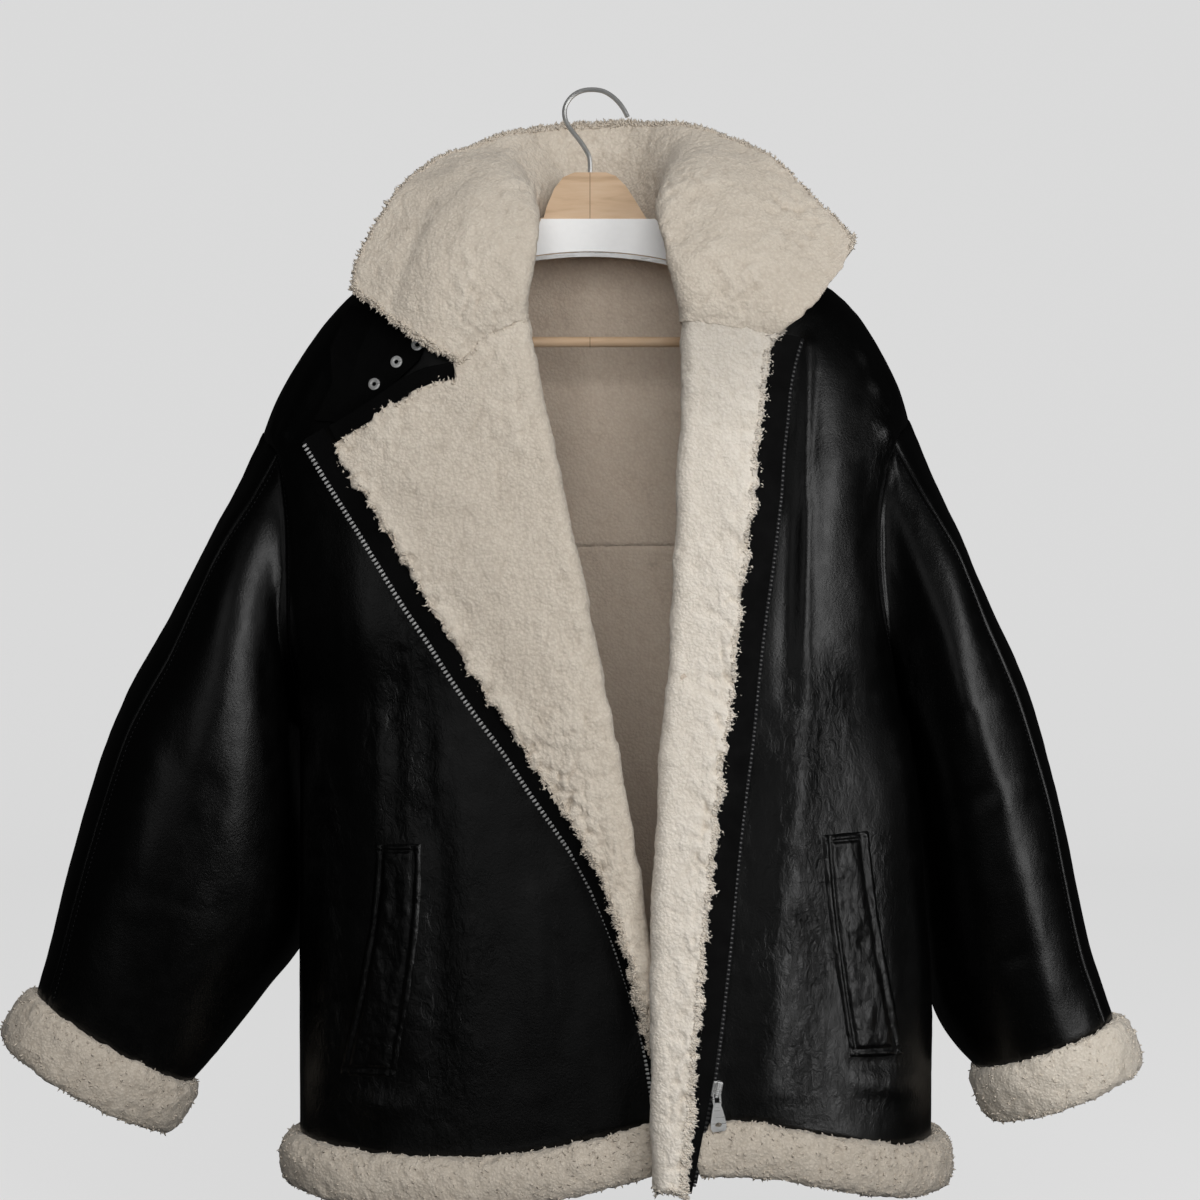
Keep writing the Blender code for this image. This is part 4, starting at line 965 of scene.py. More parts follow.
# where the leather is crumpled: x, y, half width and half height in pixels, and how strongly
CRUMPLED = [
    (408, 746, 34, 110, 0.75), (440, 990, 46, 170, 0.55), (330, 960, 24, 190, 0.45), (366, 1100, 44, 30, 0.6),
    (330, 830, 26, 40, 0.5), (395, 960, 18, 110, 0.6), (812, 760, 34, 110, 0.85), (806, 950, 30, 170, 0.95), (860, 945, 26, 110, 0.9),
    (870, 1085, 50, 34, 0.6), (770, 930, 26, 120, 0.4), (912, 680, 30, 26, 0.5), (308, 720, 26, 30, 0.5),
    (882, 440, 20, 60, 0.3), (280, 440, 20, 40, 0.3),
]


def crumpled(p):
    x, y = view_x(p), view_y(p)
    total = np.full(x.shape, 0.05)
    for cx, cy, rx, ry, much in CRUMPLED:
        total = np.maximum(total, much * np.exp(-(((x - cx) / rx) ** 2) - ((y - cy) / ry) ** 2))
    return np.clip(total * (1 + 0.5 * noise(p, 26, 17)), 0, 1)


faces_out = {}


def shell(name, cloth, folds, sides, turn, stands_for, lining=LINING, lining_height=1.6, curl=5.2, seed=1, amount=1.0, press=None, bare=None):
    half = WALL / 2
    cloth = eased(cloth)
    front = np.clip(-cloth.n[..., 1:2] * 3, 0, 1)[..., 0]
    crumple = crumpled(cloth.p) * front + 0.22 * (1 - front)
    rough = crumple * (0.55 * noise(cloth.p * np.array([1.5, 1, 0.55]), 7.5, seed + 60) + 0.30 * noise(cloth.p * np.array([1.3, 1, 0.7]), 4.6, seed + 61))
    rise = (wrinkled(cloth, folds, amount) + 2.0 * rough) * faded(cloth) + seamed(cloth, sides)
    if press is not None:
        rise = rise + 5.5 * underarm(cloth, press)
    outer = cloth.p + cloth.n * (half * cloth.reach[..., :1] + rise[..., None])
    lay = fleece(cloth.p, curl, seed)
    pile = (lay * lining_height - 0.5 * lining_height) * faded(cloth, 4)
    inner = cloth.p - cloth.n * (half * cloth.reach[..., 1:] + pile[..., None])
    obj = wall(name, outer, inner, [BLACK, lining, CUT_AND_SHADE], turn, {"lay": np.concatenate([lay.ravel(), lay.ravel()]), "crumple": np.concatenate([crumple.ravel(), crumple.ravel() * 0])})
    if press is not None:
        # along the underarm seam a dull strip of the cut-edge leather, without shine, is painted shade for the dark
        # valley between sleeve and body
        near = edge_distance(cloth.p)[press] < 8.0
        near = (near[:-1, :-1] & near[1:, 1:]).ravel()
        slots = np.zeros(len(obj.data.polygons), np.int32)
        obj.data.polygons.foreach_get("material_index", slots)
        slots[:len(near)][near] = 2
        obj.data.polygons.foreach_set("material_index", slots)
    if bare is not None:
        # under the leather strips the wool is shorn away
        d = edge_distance(cloth.p)
        shorn = (cloth.n[..., 1] > 0.1) & ((d[3] < bare[0]) | (d[0] < bare[1]))
        shorn = (shorn[:-1, :-1] & shorn[1:, 1:]).ravel()
        slots = np.zeros(len(obj.data.polygons), np.int32)
        obj.data.polygons.foreach_get("material_index", slots)
        slots[len(shorn):2 * len(shorn)][shorn] = 2
        obj.data.polygons.foreach_set("material_index", slots)
    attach(obj, "jacket")
    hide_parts(*stands_for)
    faces_out[name] = (outer, cloth.n)
    return obj


def area_of(points):
    a, b = np.diff(points, axis=0)[:, :-1], np.diff(points, axis=1)[:-1]
    return float(np.linalg.norm(np.cross(a, b), axis=2).sum()) * 1e-6


shells = {}
for name, piece, step, folds, sides, turn, seed, press in (
    ("front_right_shell", front_right, 3.2, FOLDS_RIGHT, (0, 1, 1, 0), False, 21, None),
    ("front_left_shell", front_left, 3.2, FOLDS_LEFT, (0, 1, 1, 0), True, 22, None),
    ("back_yoke_shell", back_yoke, 4.2, [], (1, 1, 1, 1), True, 23, None),
    ("back_lower_shell", back_lower, 4.2, [], (1, 1, 1, 1), True, 24, None),
    ("sleeve_right_front_shell", sleeve_right_front, 3.2, FOLDS_RIGHT, (1, 1, 1, 0), False, 25, 3),
    ("sleeve_right_back_shell", sleeve_right_back, 4.2, FOLDS_RIGHT, (1, 1, 0, 1), False, 26, 2),
    ("sleeve_left_front_shell", sleeve_left_front, 3.2, FOLDS_LEFT, (1, 1, 1, 0), True, 27, 3),
    ("sleeve_left_back_shell", sleeve_left_back, 4.2, FOLDS_LEFT, (1, 1, 0, 1), True, 28, 2),
):
    cloth = Cloth.over(piece, step)
    bare = {"front_right_shell": (STRIP_WIDTH_RIGHT + 2.5, 17.0), "front_left_shell": (STRIP_WIDTH_LEFT + 2.5, 0.0)}.get(name)
    shells[name] = (shell(name, cloth, folds, sides, turn, [name[:-6]], seed=seed, press=press, bare=bare), area_of(cloth.p))


# ---- the wool that faces out

def fleece_over(name, cloth, stride, turn, soft_sides, height, curl, seed, finish, furrows=(), under=None, ragged=3.6, grow=0.0, locks=1500, lap=(0, 0), open_edge=0.0, tone=None, curly=(), fringe=0.95):
    """A fleece on the wool side of a piece. soft_sides: which of its four sides end in a free, rounded edge."""
    face = cloth.p - cloth.n * (WALL / 2 - 0.4)
    distances = edge_distance(face)
    level = np.ones(face.shape[:2])
    for distance, soft in zip(distances, soft_sides):
        level *= rounded(distance, 6.5) if soft else 1
    lay = fleece(face, curl, seed)
    border = np.minimum.reduce([d for d, soft in zip(distances, soft_sides) if soft])
    # towards the zip the curls are bigger and stand open
    opened = np.exp(-((distances[3] / max(open_edge, 1.0)) ** 2)) * (open_edge > 0)
    x, y = view_x(face), view_y(face)
    for cx, cy, rx, ry, much in curly:
        opened = np.maximum(opened, much * np.exp(-(((x - cx) / rx) ** 2) - ((y - cy) / ry) ** 2))
    opened = np.clip(opened * (1 + 0.6 * noise(face, 20, seed + 92)), 0, 1)
    lay = lay * (1 - opened) + np.clip(1.25 * fleece(face, curl * 1.6, seed + 90) - 0.15, 0, 1) * opened
    lay = np.clip(0.5 + (lay - 0.5) * (0.85 + fringe * np.exp(-((border / 20.0) ** 2)) + 0.9 * opened + 0.3 * noise(face, 42, seed + 9)), 0, 1)
    swell = 1.5 * noise(face, 38, seed + 5) + 0.8 * noise(face, 15, seed + 6)
    body = (height + lay * (2.3 + 2.0 * opened) + swell + creases(face, furrows)) * (0.12 + 0.88 * level)
    top = face - cloth.n * body[..., None]
    # the curls lean a little every way
    lean = np.stack([noise(face, 4.5, seed + 20 + k) for k in range(3)], axis=-1)
    lean -= cloth.n * (lean * cloth.n).sum(axis=-1, keepdims=True)
    top += lean * (0.9 * level[..., None])
    # a ragged free edge
    away = np.zeros(face.shape)
    for axis, (first, last) in ((0, (distances[0], distances[1])), (1, (distances[2], distances[3]))):
        off = np.gradient(face, axis=axis)
        off /= np.maximum(np.linalg.norm(off, axis=2, keepdims=True), 1e-6)
        for distance, sign, soft in ((first, -1, soft_sides[2 * axis]), (last, 1, soft_sides[2 * axis + 1])):
            if soft:
                near = np.exp(-((distance / 5.0) ** 2))
                fray = grow + ragged * (0.60 * noise(face, 8.5, seed + 40) + 0.40 * noise(face, 4.0, seed + 41))
                top += off * (sign * near * fray)[..., None]
                away += off * (sign * near)[..., None]
    # where it runs on into a neighbour it laps over the join
    along = np.gradient(face, axis=0)
    along /= np.maximum(np.linalg.norm(along, axis=2, keepdims=True), 1e-6)
    top += along * (lap[1] * np.exp(-((distances[1] / 7.0) ** 2)) - lap[0] * np.exp(-((distances[0] / 7.0) ** 2)))[..., None]
    low = cloth.p + (under if under is not None else -cloth.n * 0.5)
    below = np.full(low[::stride, ::stride].shape[0] * low[::stride, ::stride].shape[1], 0.5)
    layers = {"lay": np.concatenate([lay.ravel(), below])}
    if tone is not None:
        layers["tone"] = np.concatenate([tone.ravel(), below])
    obj = pelt(name, top, low, stride, [finish, finish if under is None else BLACK], turn, layers)
    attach(obj, "jacket")
    chosen = picked(border < 4.5, locks, seed + 80)
    order = np.arange(len(chosen))
    wild = np.stack([hashed(order, order * 5 + k, order * 0 + k, seed + 82) * 2 - 1 for k in range(3)], axis=-1)
    ways = away.reshape(-1, 3)[chosen] * 0.9 - cloth.n.reshape(-1, 3)[chosen] * 0.25 + wild * 0.75
    wisps(name + "_locks", top.reshape(-1, 3)[chosen], ways, [finish], seed + 83, 2.2, 4.6, 0.95, None if tone is None else tone.ravel()[chosen])
    return obj


WOOL_STEP = 1.65
columns = slice(body_columns - 2, wool_columns + 1)


def start_lower(cloth, starts):
    """The same cloth with each column beginning that many millimetres further down."""
    stack = np.concatenate([cloth.p, cloth.n, cloth.reach], axis=2)
    out = np.empty_like(stack)
    for c in range(stack.shape[1]):
        run = np.concatenate([[0], np.cumsum(np.linalg.norm(np.diff(stack[:, c, :3], axis=0), axis=1))])
        at = np.interp(np.linspace(starts[c], run[-1], len(run)), run, np.arange(len(run)))
        out[:, c] = along_grid(stack[:, c], at, 0)
    n = out[..., 3:6] / np.linalg.norm(out[..., 3:6], axis=2, keepdims=True)
    return Cloth(out[..., :3], n, out[..., 6:8])


lapel_cloth = Cloth.over(front_right, WOOL_STEP, columns=columns, multiple=8)
notch_x = front_point(RIGHT, -1, 0, "flap", NOTCH)[0]
past_notch = np.clip((notch_x - lapel_cloth.p[0, :, 0]) / 9.0, 0, 1)
lapel_cloth = start_lower(lapel_cloth, 15.0 * past_notch * past_notch * (3 - 2 * past_notch))
lapel = fleece_over("wool_lapel_right", lapel_cloth, 8, False, (1, 1, 0, 1), 1.2, 5.0, 31, FLEECE, grow=2.0, ragged=6.0, locks=2600, open_edge=11.0, curly=[(575, 740, 46, 170, 0.8), (505, 400, 46, 60, 0.6), (400, 470, 40, 50, 0.4)])
band_cloth = Cloth.over(front_left, WOOL_STEP, columns=columns, multiple=8)
down = edge_distance(band_cloth.p)[0]
# the tone layer darkens the band's top 120 mm to the fleece's level, so the band's painted light fades out where it
# meets the collar
band = fleece_over("wool_band_left", band_cloth, 8, True, (0, 1, 0, 1), 1.2, 5.2, 51, LIT_BAND, grow=2.0, ragged=6.2, locks=2600, lap=(2.0, 0), open_edge=20.0, tone=0.78 + 0.22 * smooth_window(down, 0, 120, 1e5, 1e6))

# where the wool stands open in bigger curls: x, y, half width and half height in pixels, and how strongly
COLLAR_CURLY = [(480, 300, 42, 52, 0.9), (520, 195, 34, 26, 0.7), (800, 220, 46, 60, 0.9), (735, 285, 60, 46, 0.8), (690, 190, 46, 28, 0.7), (600, 150, 90, 16, 0.5)]
COLLAR_FURROWS = [(388, 322, 395, 290, 7, -1.6), (395, 290, 430, 205, 7, -1.8), (430, 205, 470, 175, 7, -1.5)]
collar_cloth = Cloth.over(collar, 1.85, multiple=4)
d = edge_distance(collar_cloth.p)
plump = 2.2 * rounded(d[3], 16) * rounded(d[0], 12) * rounded(d[1], 12)
back = collar_cloth.n * (WALL / 2 * rounded(np.minimum.reduce([d[0], d[1], d[3]]), 6))[..., None]
collar_fleece = fleece_over("collar_wool", collar_cloth, 4, True, (1, 0, 0, 1), 1.0, 4.8, 71, FLEECE, COLLAR_FURROWS, under=back, ragged=2.0, grow=1.0, locks=2100, lap=(0, 2.5), curly=COLLAR_CURLY, fringe=0.35)
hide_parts("collar")


# ---- fur rolls

def roll_mesh(name, centres, out, down, half_a, half_b, shift, fat, closed, stands_for, seed, step=2.0, curl=5.4, finish=TRIM):
    """A fleece roll along a path: an even oval section with its curls."""
    centres, out, down = np.asarray(centres), np.asarray(out), np.asarray(down)
    fat = np.asarray(fat, float)
    stack = np.concatenate([centres, out, down, fat[:, None]], axis=1)
    if closed:
        stack = np.concatenate([stack, stack[:1]])
    lengths = np.linalg.norm(np.diff(stack[:, :3], axis=0), axis=1) + 1e-3
    total = np.concatenate([[0], np.cumsum(lengths)])
    count = int(total[-1] / step)
    at = np.interp(np.linspace(0, total[-1], count + 1), total, np.arange(len(total)))
    stack = along_grid(stack, at, 0)
    if closed:
        stack = stack[:-1]
    c, o, dn, f = stack[:, :3], stack[:, 3:6], stack[:, 6:9], stack[:, 9]
    turns = int(2 * math.pi * math.sqrt((half_a**2 + half_b**2) / 2) / step)
    angle = 2 * math.pi * (np.arange(turns) + 0.5) / turns
    ca, sa = np.cos(angle), np.sin(angle)
    power = 2.3
    ra = half_a * np.sign(ca) * np.abs(ca) ** (2 / power)
    rb = half_b * np.sign(sa) * np.abs(sa) ** (2 / power)
    local = (shift + ra)[None, :, None] * f[:, None, None] * o[:, None] + rb[None, :, None] * dn[:, None]
    p = c[:, None] + local
    n = (ca / half_a)[None, :, None] * o[:, None] + (sa / half_b)[None, :, None] * dn[:, None]
    n = n / np.linalg.norm(n, axis=2, keepdims=True)
    lay = fleece(p, curl, seed)
    height = -1.4 + lay * 2.6 + 1.2 * noise(p, 30, seed + 4) + 0.8 * noise(p, 13, seed + 5)
    if not closed:
        ends = np.minimum(np.arange(len(c)), np.arange(len(c))[::-1]) * step
        taper = rounded(ends, 9)[:, None]
        p = c[:, None] + (shift * f[:, None] * o)[:, None] + (p - c[:, None] - (shift * f[:, None] * o)[:, None]) * (0.35 + 0.65 * taper)[..., None]
        height = height * taper
    lean = np.stack([noise(p, 4.5, seed + 20 + k) for k in range(3)], axis=-1)
    p = p + n * height[..., None] + lean * 0.9
    rows, cols = p.shape[:2]
    points = p.reshape(-1, 3)
    faces = list(quads(rows, cols, 0, wrap=True))
    if closed:
        last, first = np.arange(cols) + (rows - 1) * cols, np.arange(cols)
        faces += [(last[i], last[(i + 1) % cols], first[(i + 1) % cols], first[i]) for i in range(cols)]
    else:
        middle = np.array([points[:cols].mean(axis=0), points[-cols:].mean(axis=0)])
        a, b = len(points), len(points) + 1
        points = np.concatenate([points, middle])
        lay = np.concatenate([lay.ravel(), [0.5, 0.5]])
        faces += [(a, (i + 1) % cols, i) for i in range(cols)]
        faces += [(b, (rows - 1) * cols + i, (rows - 1) * cols + (i + 1) % cols) for i in range(cols)]
    obj = new_mesh(name, points, faces, [finish], None, {"lay": lay.ravel()})
    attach(obj, "jacket")
    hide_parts(stands_for)
    chosen = picked(np.ones(n.shape[:2], bool), 1000, seed + 80)
    order = np.arange(len(chosen))
    wild = np.stack([hashed(order, order * 5 + k, order * 0 + k, seed + 82) * 2 - 1 for k in range(3)], axis=-1)
    wisps(name + "_locks", points[chosen], n.reshape(-1, 3)[chosen] * 0.6 + wild, [finish], seed + 83, 1.8, 3.6, 0.8)
    return obj


def hem_roll(name, piece, last, fat, stands_for, seed, further=0.0):
    points, out = piece.points[-1, :last].copy(), piece.normals[-1, :last].copy()
    out[:, 2] = 0
    out /= np.linalg.norm(out, axis=1, keepdims=True)
    if further:
        points = np.concatenate([points, points[-1:] + unit((points[-1] - points[-3]) * np.array([1, 1, 0])) * further])
        out, fat = np.concatenate([out, out[-1:]]), list(fat) + [fat[-1]]
    down = np.tile([0.0, 0.0, -1.0], (len(points), 1))
    roll_mesh(name, points + down * (FUR_HEM_HEIGHT / 2 - 0.9), out, down, FUR_HEM_HALF, FUR_HEM_HEIGHT / 2 + 1.4, FUR_HEM_OUT, fat, False, stands_for, seed)


fine_body = finer(BODY_SHARES)
hem_roll("hem_fur_right", front_right, body_columns + 1, [1 - 0.5 * smooth((s - 0.7) / 0.25) for s in fine_body], "hem_trim_right", 91)
hem_roll("hem_fur_left", front_left, body_columns + 1 - 2 * FINER + FINER, [1 - 0.25 * smooth((s - 0.5) / 0.2) for s in fine_body[: body_columns + 1 - FINER]], "hem_trim_left", 92, 13.0)
hem_roll("hem_fur_back", back_lower, None, [1.0] * back_lower.points.shape[1], "hem_trim_back", 93)


def cuff_roll(name, front_piece, back_piece, sleeve, stands_for, seed, finish=TRIM):
    ring = np.concatenate([front_piece.points[-1, :-1], back_piece.points[-1, :-1]])
    out = np.concatenate([front_piece.normals[-1, :-1], back_piece.normals[-1, :-1]])
    h = sleeve.point(1, "out_x", "out_y", "out_z") - sleeve.point(1, "in_x", "in_y", "in_z")
    axis = unit(np.cross(h, np.array([0.0, 1.0, 0.0])))
    axis = -axis if axis[2] > 0 else axis
    out = out - np.outer(out @ axis, axis)
    out /= np.linalg.norm(out, axis=1, keepdims=True)
    roll_mesh(name, ring + axis * (FUR_CUFF_HEIGHT / 2 - 0.6), out, np.tile(axis, (len(ring), 1)), FUR_CUFF_HALF, FUR_CUFF_HEIGHT / 2 + 1.4, FUR_CUFF_OUT, [1.0] * len(ring), True, stands_for, seed, finish=finish)


cuff_roll("cuff_fur_right", sleeve_right_front, sleeve_right_back, SLEEVE_RIGHT, "cuff_right", 94)
# the left cuff takes the trim's lighter copy, painted light
cuff_roll("cuff_fur_left", sleeve_left_front, sleeve_left_back, SLEEVE_LEFT, "cuff_left", 95, TRIM_LIT)


# ---- pockets: a welt in a raised frame, with a dark groove round it

def pocket(name, shell_name, corners, grooves, seed, stands_for, bow):
    """corners: top left, top right, bottom right, bottom left in pixels; grooves: widths in pixels at top, right, bottom, left."""
    outer, directions = faces_out[shell_name]
    tl, tr, br, bl = [np.array(c, float) for c in corners]
    width, height, margin, pitch = np.linalg.norm(tr - tl + br - bl) / 2, np.linalg.norm(bl - tl + br - tr) / 2, 10.0, 1.35
    nu = 8 * int(math.ceil((width + 2 * margin) / pitch / 8)) + 1
    nv = 8 * int(math.ceil((height + 2 * margin) / pitch / 8)) + 1
    u = np.linspace(-margin / width, 1 + margin / width, nu)[None, :, None]
    v = np.linspace(-margin / height, 1 + margin / height, nv)[:, None, None]
    at = (1 - v) * ((1 - u) * tl + u * tr) + v * ((1 - u) * bl + u * br)
    bend = bow * np.sin(math.pi * np.clip(v[..., 0], 0, 1) ** 0.8) * np.ones(at.shape[:2])
    p, n = on_view(outer, directions, at[..., 0] + bend, at[..., 1])
    middle = (tl + tr + br + bl) / 4
    inside = []
    for a, b in ((tl, tr), (tr, br), (br, bl), (bl, tl)):
        d = (b - a) / np.linalg.norm(b - a)
        across = np.array([-d[1], d[0]])
        across *= np.sign((middle - a) @ across)
        inside.append((at - a) @ across)
    near = np.minimum.reduce(inside)
    ramp = np.clip((near + 10) / 8.5, 0, 1)
    height_mm = -1.2 + 3.0 * ramp * ramp * (3 - 2 * ramp)
    panel = 1.2 + 1.0 * rounded(near - 1.5, 9)
    height_mm = np.where(near > 0, panel, height_mm)
    groove = np.zeros(near.shape)
    for distance, wide in zip(inside, grooves):
        groove = np.maximum(groove, np.exp(-(((distance - wide * 0.4) / wide) ** 2)) * (near > -3.5))
    height_mm = height_mm * (1 - groove) + 0.25 * groove
    height_mm = height_mm + (0.55 * noise(p * np.array([1.3, 1, 0.7]), 17, seed + 2) + 0.34 * noise(p * np.array([1.3, 1, 0.7]), 9, seed) + 0.22 * noise(p, 4.6, seed + 1)) * np.clip((near + 9) / 4, 0, 1)
    top = p + n * height_mm[..., None]
    obj = pelt(name, top, p - n * 2.2, 8, [BLACK, BLACK], False, {"crumple": np.full(nu * nv + len(range(0, nv, 8)) * len(range(0, nu, 8)), 0.35)})
    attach(obj, "jacket")
    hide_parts(stands_for)
    return obj


pocket("pocket_right", "front_right_shell", [(381, 850), (414, 850), (390, 1071), (347, 1069)], (1.5, 3.2, 3.0, 2.2), 110, "pocket_welt_right", 6.0)
pocket("pocket_left", "front_left_shell", [(829, 841), (863, 838), (897, 1049), (855, 1051)], (1.6, 3.8, 2.8, 1.8), 111, "pocket_welt_left", -3.0)


# ---- topstitching along the seams

def thread_material():
    m = Nodes("thread")
    twist = m.add("ShaderNodeTexWave", wave_type="BANDS", bands_direction="DIAGONAL")
    twist.inputs["Scale"].default_value = 900
    m.link(m.where, twist, "Vector")
    return m.done((0.006, 0.006, 0.0065), 0.55, m.bump(twist.outputs["Fac"], 0.3, 0.0002), Specular_IOR_Level=0.25)


THREAD = thread_material()


def stitches(name, runs, pitch=4.0):
    points, faces = [], []
    for p, n in runs:
        line = path_points(np.concatenate([p, n], axis=1), pitch)
        if len(line) < 3:
            continue
        tangent = np.gradient(line[:, :3], axis=0)
        for row, t in zip(line, tangent):
            t, out = unit(t), unit(row[3:6])
            side = unit(np.cross(t, out))
            start = len(points)
            for a, wide, up in ((-1.35, 0.22, -0.25), (-0.7, 0.4, 0.34), (0.7, 0.4, 0.34), (1.35, 0.22, -0.25)):
                for sign in (-1, 1):
                    points.append(row[:3] + t * a + side * sign * wide + out * up)
            for a, wide in ((-0.7, 0.4), (0.7, 0.4)):
                for sign in (-1, 1):
                    points.append(row[:3] + t * a + side * sign * wide - out * 0.5)
            for face in ((0, 1, 3, 2), (2, 3, 5, 4), (4, 5, 7, 6), (8, 9, 1, 0), (6, 7, 11, 10), (10, 11, 9, 8), (0, 2, 8), (1, 9, 3), (6, 10, 4), (7, 5, 11), (2, 4, 10, 8), (3, 9, 11, 5)):
                faces.append(np.array(face) + start)
    obj = new_mesh(name, np.array(points), faces, [THREAD])
    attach(obj, "jacket")
    return obj


def path_points(points, step):
    lengths = np.linalg.norm(np.diff(points[:, :3], axis=0), axis=1)
    total = np.concatenate([[0], np.cumsum(lengths)])
    count = int(total[-1] / step)
    at = np.interp(np.arange(count + 1) * step, total, np.arange(len(total)))
    return along_grid(points, at, 0)


def beside(name, axis, end, off, keep=None):
    """A line on a shell's leather, off millimetres from one of its borders."""
    outer, directions = faces_out[name]
    distance = edge_distance(outer)[2 * axis + end]
    grid_ = np.moveaxis(np.concatenate([outer, directions], axis=2), 1 - axis, 0)
    distance = np.moveaxis(distance, 1 - axis, 0)
    rows = []
    for line, d in zip(grid_, distance):
        order = np.argsort(d, kind="stable")
        rows.append([np.interp(off, d[order], line[order, k]) for k in range(6)])
    rows = np.array(rows)
    if keep is not None:
        rows = rows[keep(rows)]
    return rows[:, :3], rows[:, 3:6] / np.linalg.norm(rows[:, 3:6], axis=1, keepdims=True)


def hole_rows(rows):
    return (rows[:, 2] < -276) & (rows[:, 2] > -484)


stitches("stitching_body", [
    beside("front_right_shell", 1, 0, 7.0, hole_rows), beside("front_left_shell", 1, 0, 7.0, hole_rows),
    beside("back_yoke_shell", 1, 0, 7.0, hole_rows), beside("back_yoke_shell", 1, 1, 7.0, hole_rows),
    beside("back_lower_shell", 1, 0, 7.0, hole_rows), beside("back_lower_shell", 1, 1, 7.0, hole_rows),
    beside("back_yoke_shell", 0, 1, 6.5), beside("back_lower_shell", 0, 0, 6.5),
])
stitches("stitching_sleeves", [
    beside("sleeve_right_front_shell", 1, 0, 6.5), beside("sleeve_left_front_shell", 1, 0, 6.5),
])
# ---- zip teeth

def metal(name, colour, rough, scratch=0.15, metallic=1.0):
    m = Nodes(name)
    cloud = m.noise(90, 3, 0.6)
    lines = m.noise(40, 2, 0.6, 0.0, m.stretched((1, 1, 14)))
    tone = m.mixed(m.spread(cloud, 0.3, 0.7, 0, 1), colour, tuple(c * 0.82 for c in colour))
    return m.done(tone, m.spread(lines, 0.3, 0.7, rough * 0.8, rough * 1.25), m.bump(lines, scratch, 0.0002), Metallic=metallic)


ZIP_METAL = metal("zip_metal", (0.66, 0.66, 0.65), 0.32, 0.15, 0.6)
# the zip's metal in two more copies: a lighter one, painted light, for the right half's teeth, and a near-black one,
# painted shade, for the left half's teeth
ZIP_METAL_LIT = metal("zip_metal_painted_light", (0.90, 0.90, 0.89), 0.30, 0.15, 0.5)
ZIP_METAL_SHADED = metal("zip_metal_painted_shade", (0.075, 0.075, 0.075), 0.36, 0.15, 0.6)
CHROME = metal("hook_wire", (0.50, 0.50, 0.49), 0.33, 0.05, 0.55)
# a bright strip for the hanger's lower edge: painted highlight on the rounded edge of the wood
EDGE_HIGHLIGHT_METAL = metal("hanger_edge_painted_highlight", (0.80, 0.80, 0.79), 0.30, 0.05, 0.35)


def tape_material():
    m = Nodes("zip_tape")
    weave = m.add("ShaderNodeTexWave", wave_type="BANDS", bands_direction="Z")
    weave.inputs["Scale"].default_value = 520
    m.link(m.where, weave, "Vector")
    return m.done((0.012, 0.012, 0.013), 0.85, m.bump(weave.outputs["Fac"], 0.4, 0.0003), Specular_IOR_Level=0.2)


TAPE = tape_material()


def zip_edge(piece):
    edge, before, out = piece.points[:, -1], piece.points[:, -2], piece.normals[:, -1]
    off = edge - before
    off -= out * np.sum(off * out, axis=1, keepdims=True)
    off /= np.linalg.norm(off, axis=1, keepdims=True)
    return np.concatenate([edge + off * (0.7 + ZIP_WIDTH / 2), off, out], axis=1)


TOOTH = [(-1.9, -0.95, 0.9), (1.0, -0.95, 0.9), (2.1, -0.55, 0.6), (2.1, 0.55, 0.6), (1.0, 0.95, 0.9), (-1.9, 0.95, 0.9)]


def zip_teeth(name, piece, stands_for, finish, pitch=3.4, size=1.0, tuck=0.0):
    line = zip_edge(piece)
    line = path_points(line, pitch)[1:-1]
    tangent = np.gradient(line[:, :3], axis=0)
    tangent /= np.linalg.norm(tangent, axis=1, keepdims=True)
    points, faces, slots = [], [], []
    for row, t in zip(line, tangent):
        centre, off, out = row[:3], unit(row[3:6]), unit(row[6:9])
        centre = centre - off * tuck
        side = unit(off - t * off.dot(t)) * size
        face = unit(np.cross(t, side)) * size
        start = len(points)
        n = len(TOOTH)
        for height in (-1, 1):
            for a, b, half in TOOTH:
                points.append(centre + side * a + t * b * 0.95 + face * height * half * 1.3)
        for a, b, half in TOOTH:
            points.append(centre + side * a * 0.8 + t * b * 0.62 + face * 1.65 * half)
        for a, b, half in TOOTH:
            points.append(centre + side * a * 0.8 + t * b * 0.62 - face * 1.65 * half)
        for i in range(n):
            j = (i + 1) % n
            faces.append((start + i, start + j, start + n + j, start + n + i))
            faces.append((start + n + i, start + n + j, start + 2 * n + j, start + 2 * n + i))
            faces.append((start + 3 * n + i, start + 3 * n + j, start + j, start + i))
        faces.append(tuple(start + 2 * n + i for i in range(n)))
        faces.append(tuple(start + 3 * n + i for i in reversed(range(n))))
    teeth = new_mesh(name + "_teeth", np.array(points), [np.array(f) for f in faces], [finish])
    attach(teeth, "jacket")
    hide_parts(stands_for)
    line = zip_edge(piece)
    band = path_points(line, 8.0)
    outer, inner = [], []
    for row in band:
        centre, off, out = row[:3], unit(row[3:6]), unit(row[6:9])
        outer.append([centre - off * (ZIP_WIDTH / 2 + 5.0) - out * (WALL / 2 + 0.15), centre - off * 2.0 + out * 0.55, centre + off * 0.6 + out * 0.55])
        inner.append([centre - off * (ZIP_WIDTH / 2 + 5.0) - out * (WALL / 2 + 0.75), centre - off * 2.0 - out * 0.55, centre + off * 0.6 - out * 0.55])
    tape = wall(name + "_tape", np.array(outer), np.array(inner), [TAPE, TAPE, TAPE], True)
    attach(tape, "jacket")
    return teeth


# the two halves of one zip: the right half's teeth painted light, the left half's painted shade
zip_teeth("zip_right", front_right, "zip_right", ZIP_METAL_LIT)
zip_teeth("zip_left", front_left, "zip_left", ZIP_METAL_SHADED, 3.4, 0.75, 1.2)


# ---- what keeps its own shape gets its finish

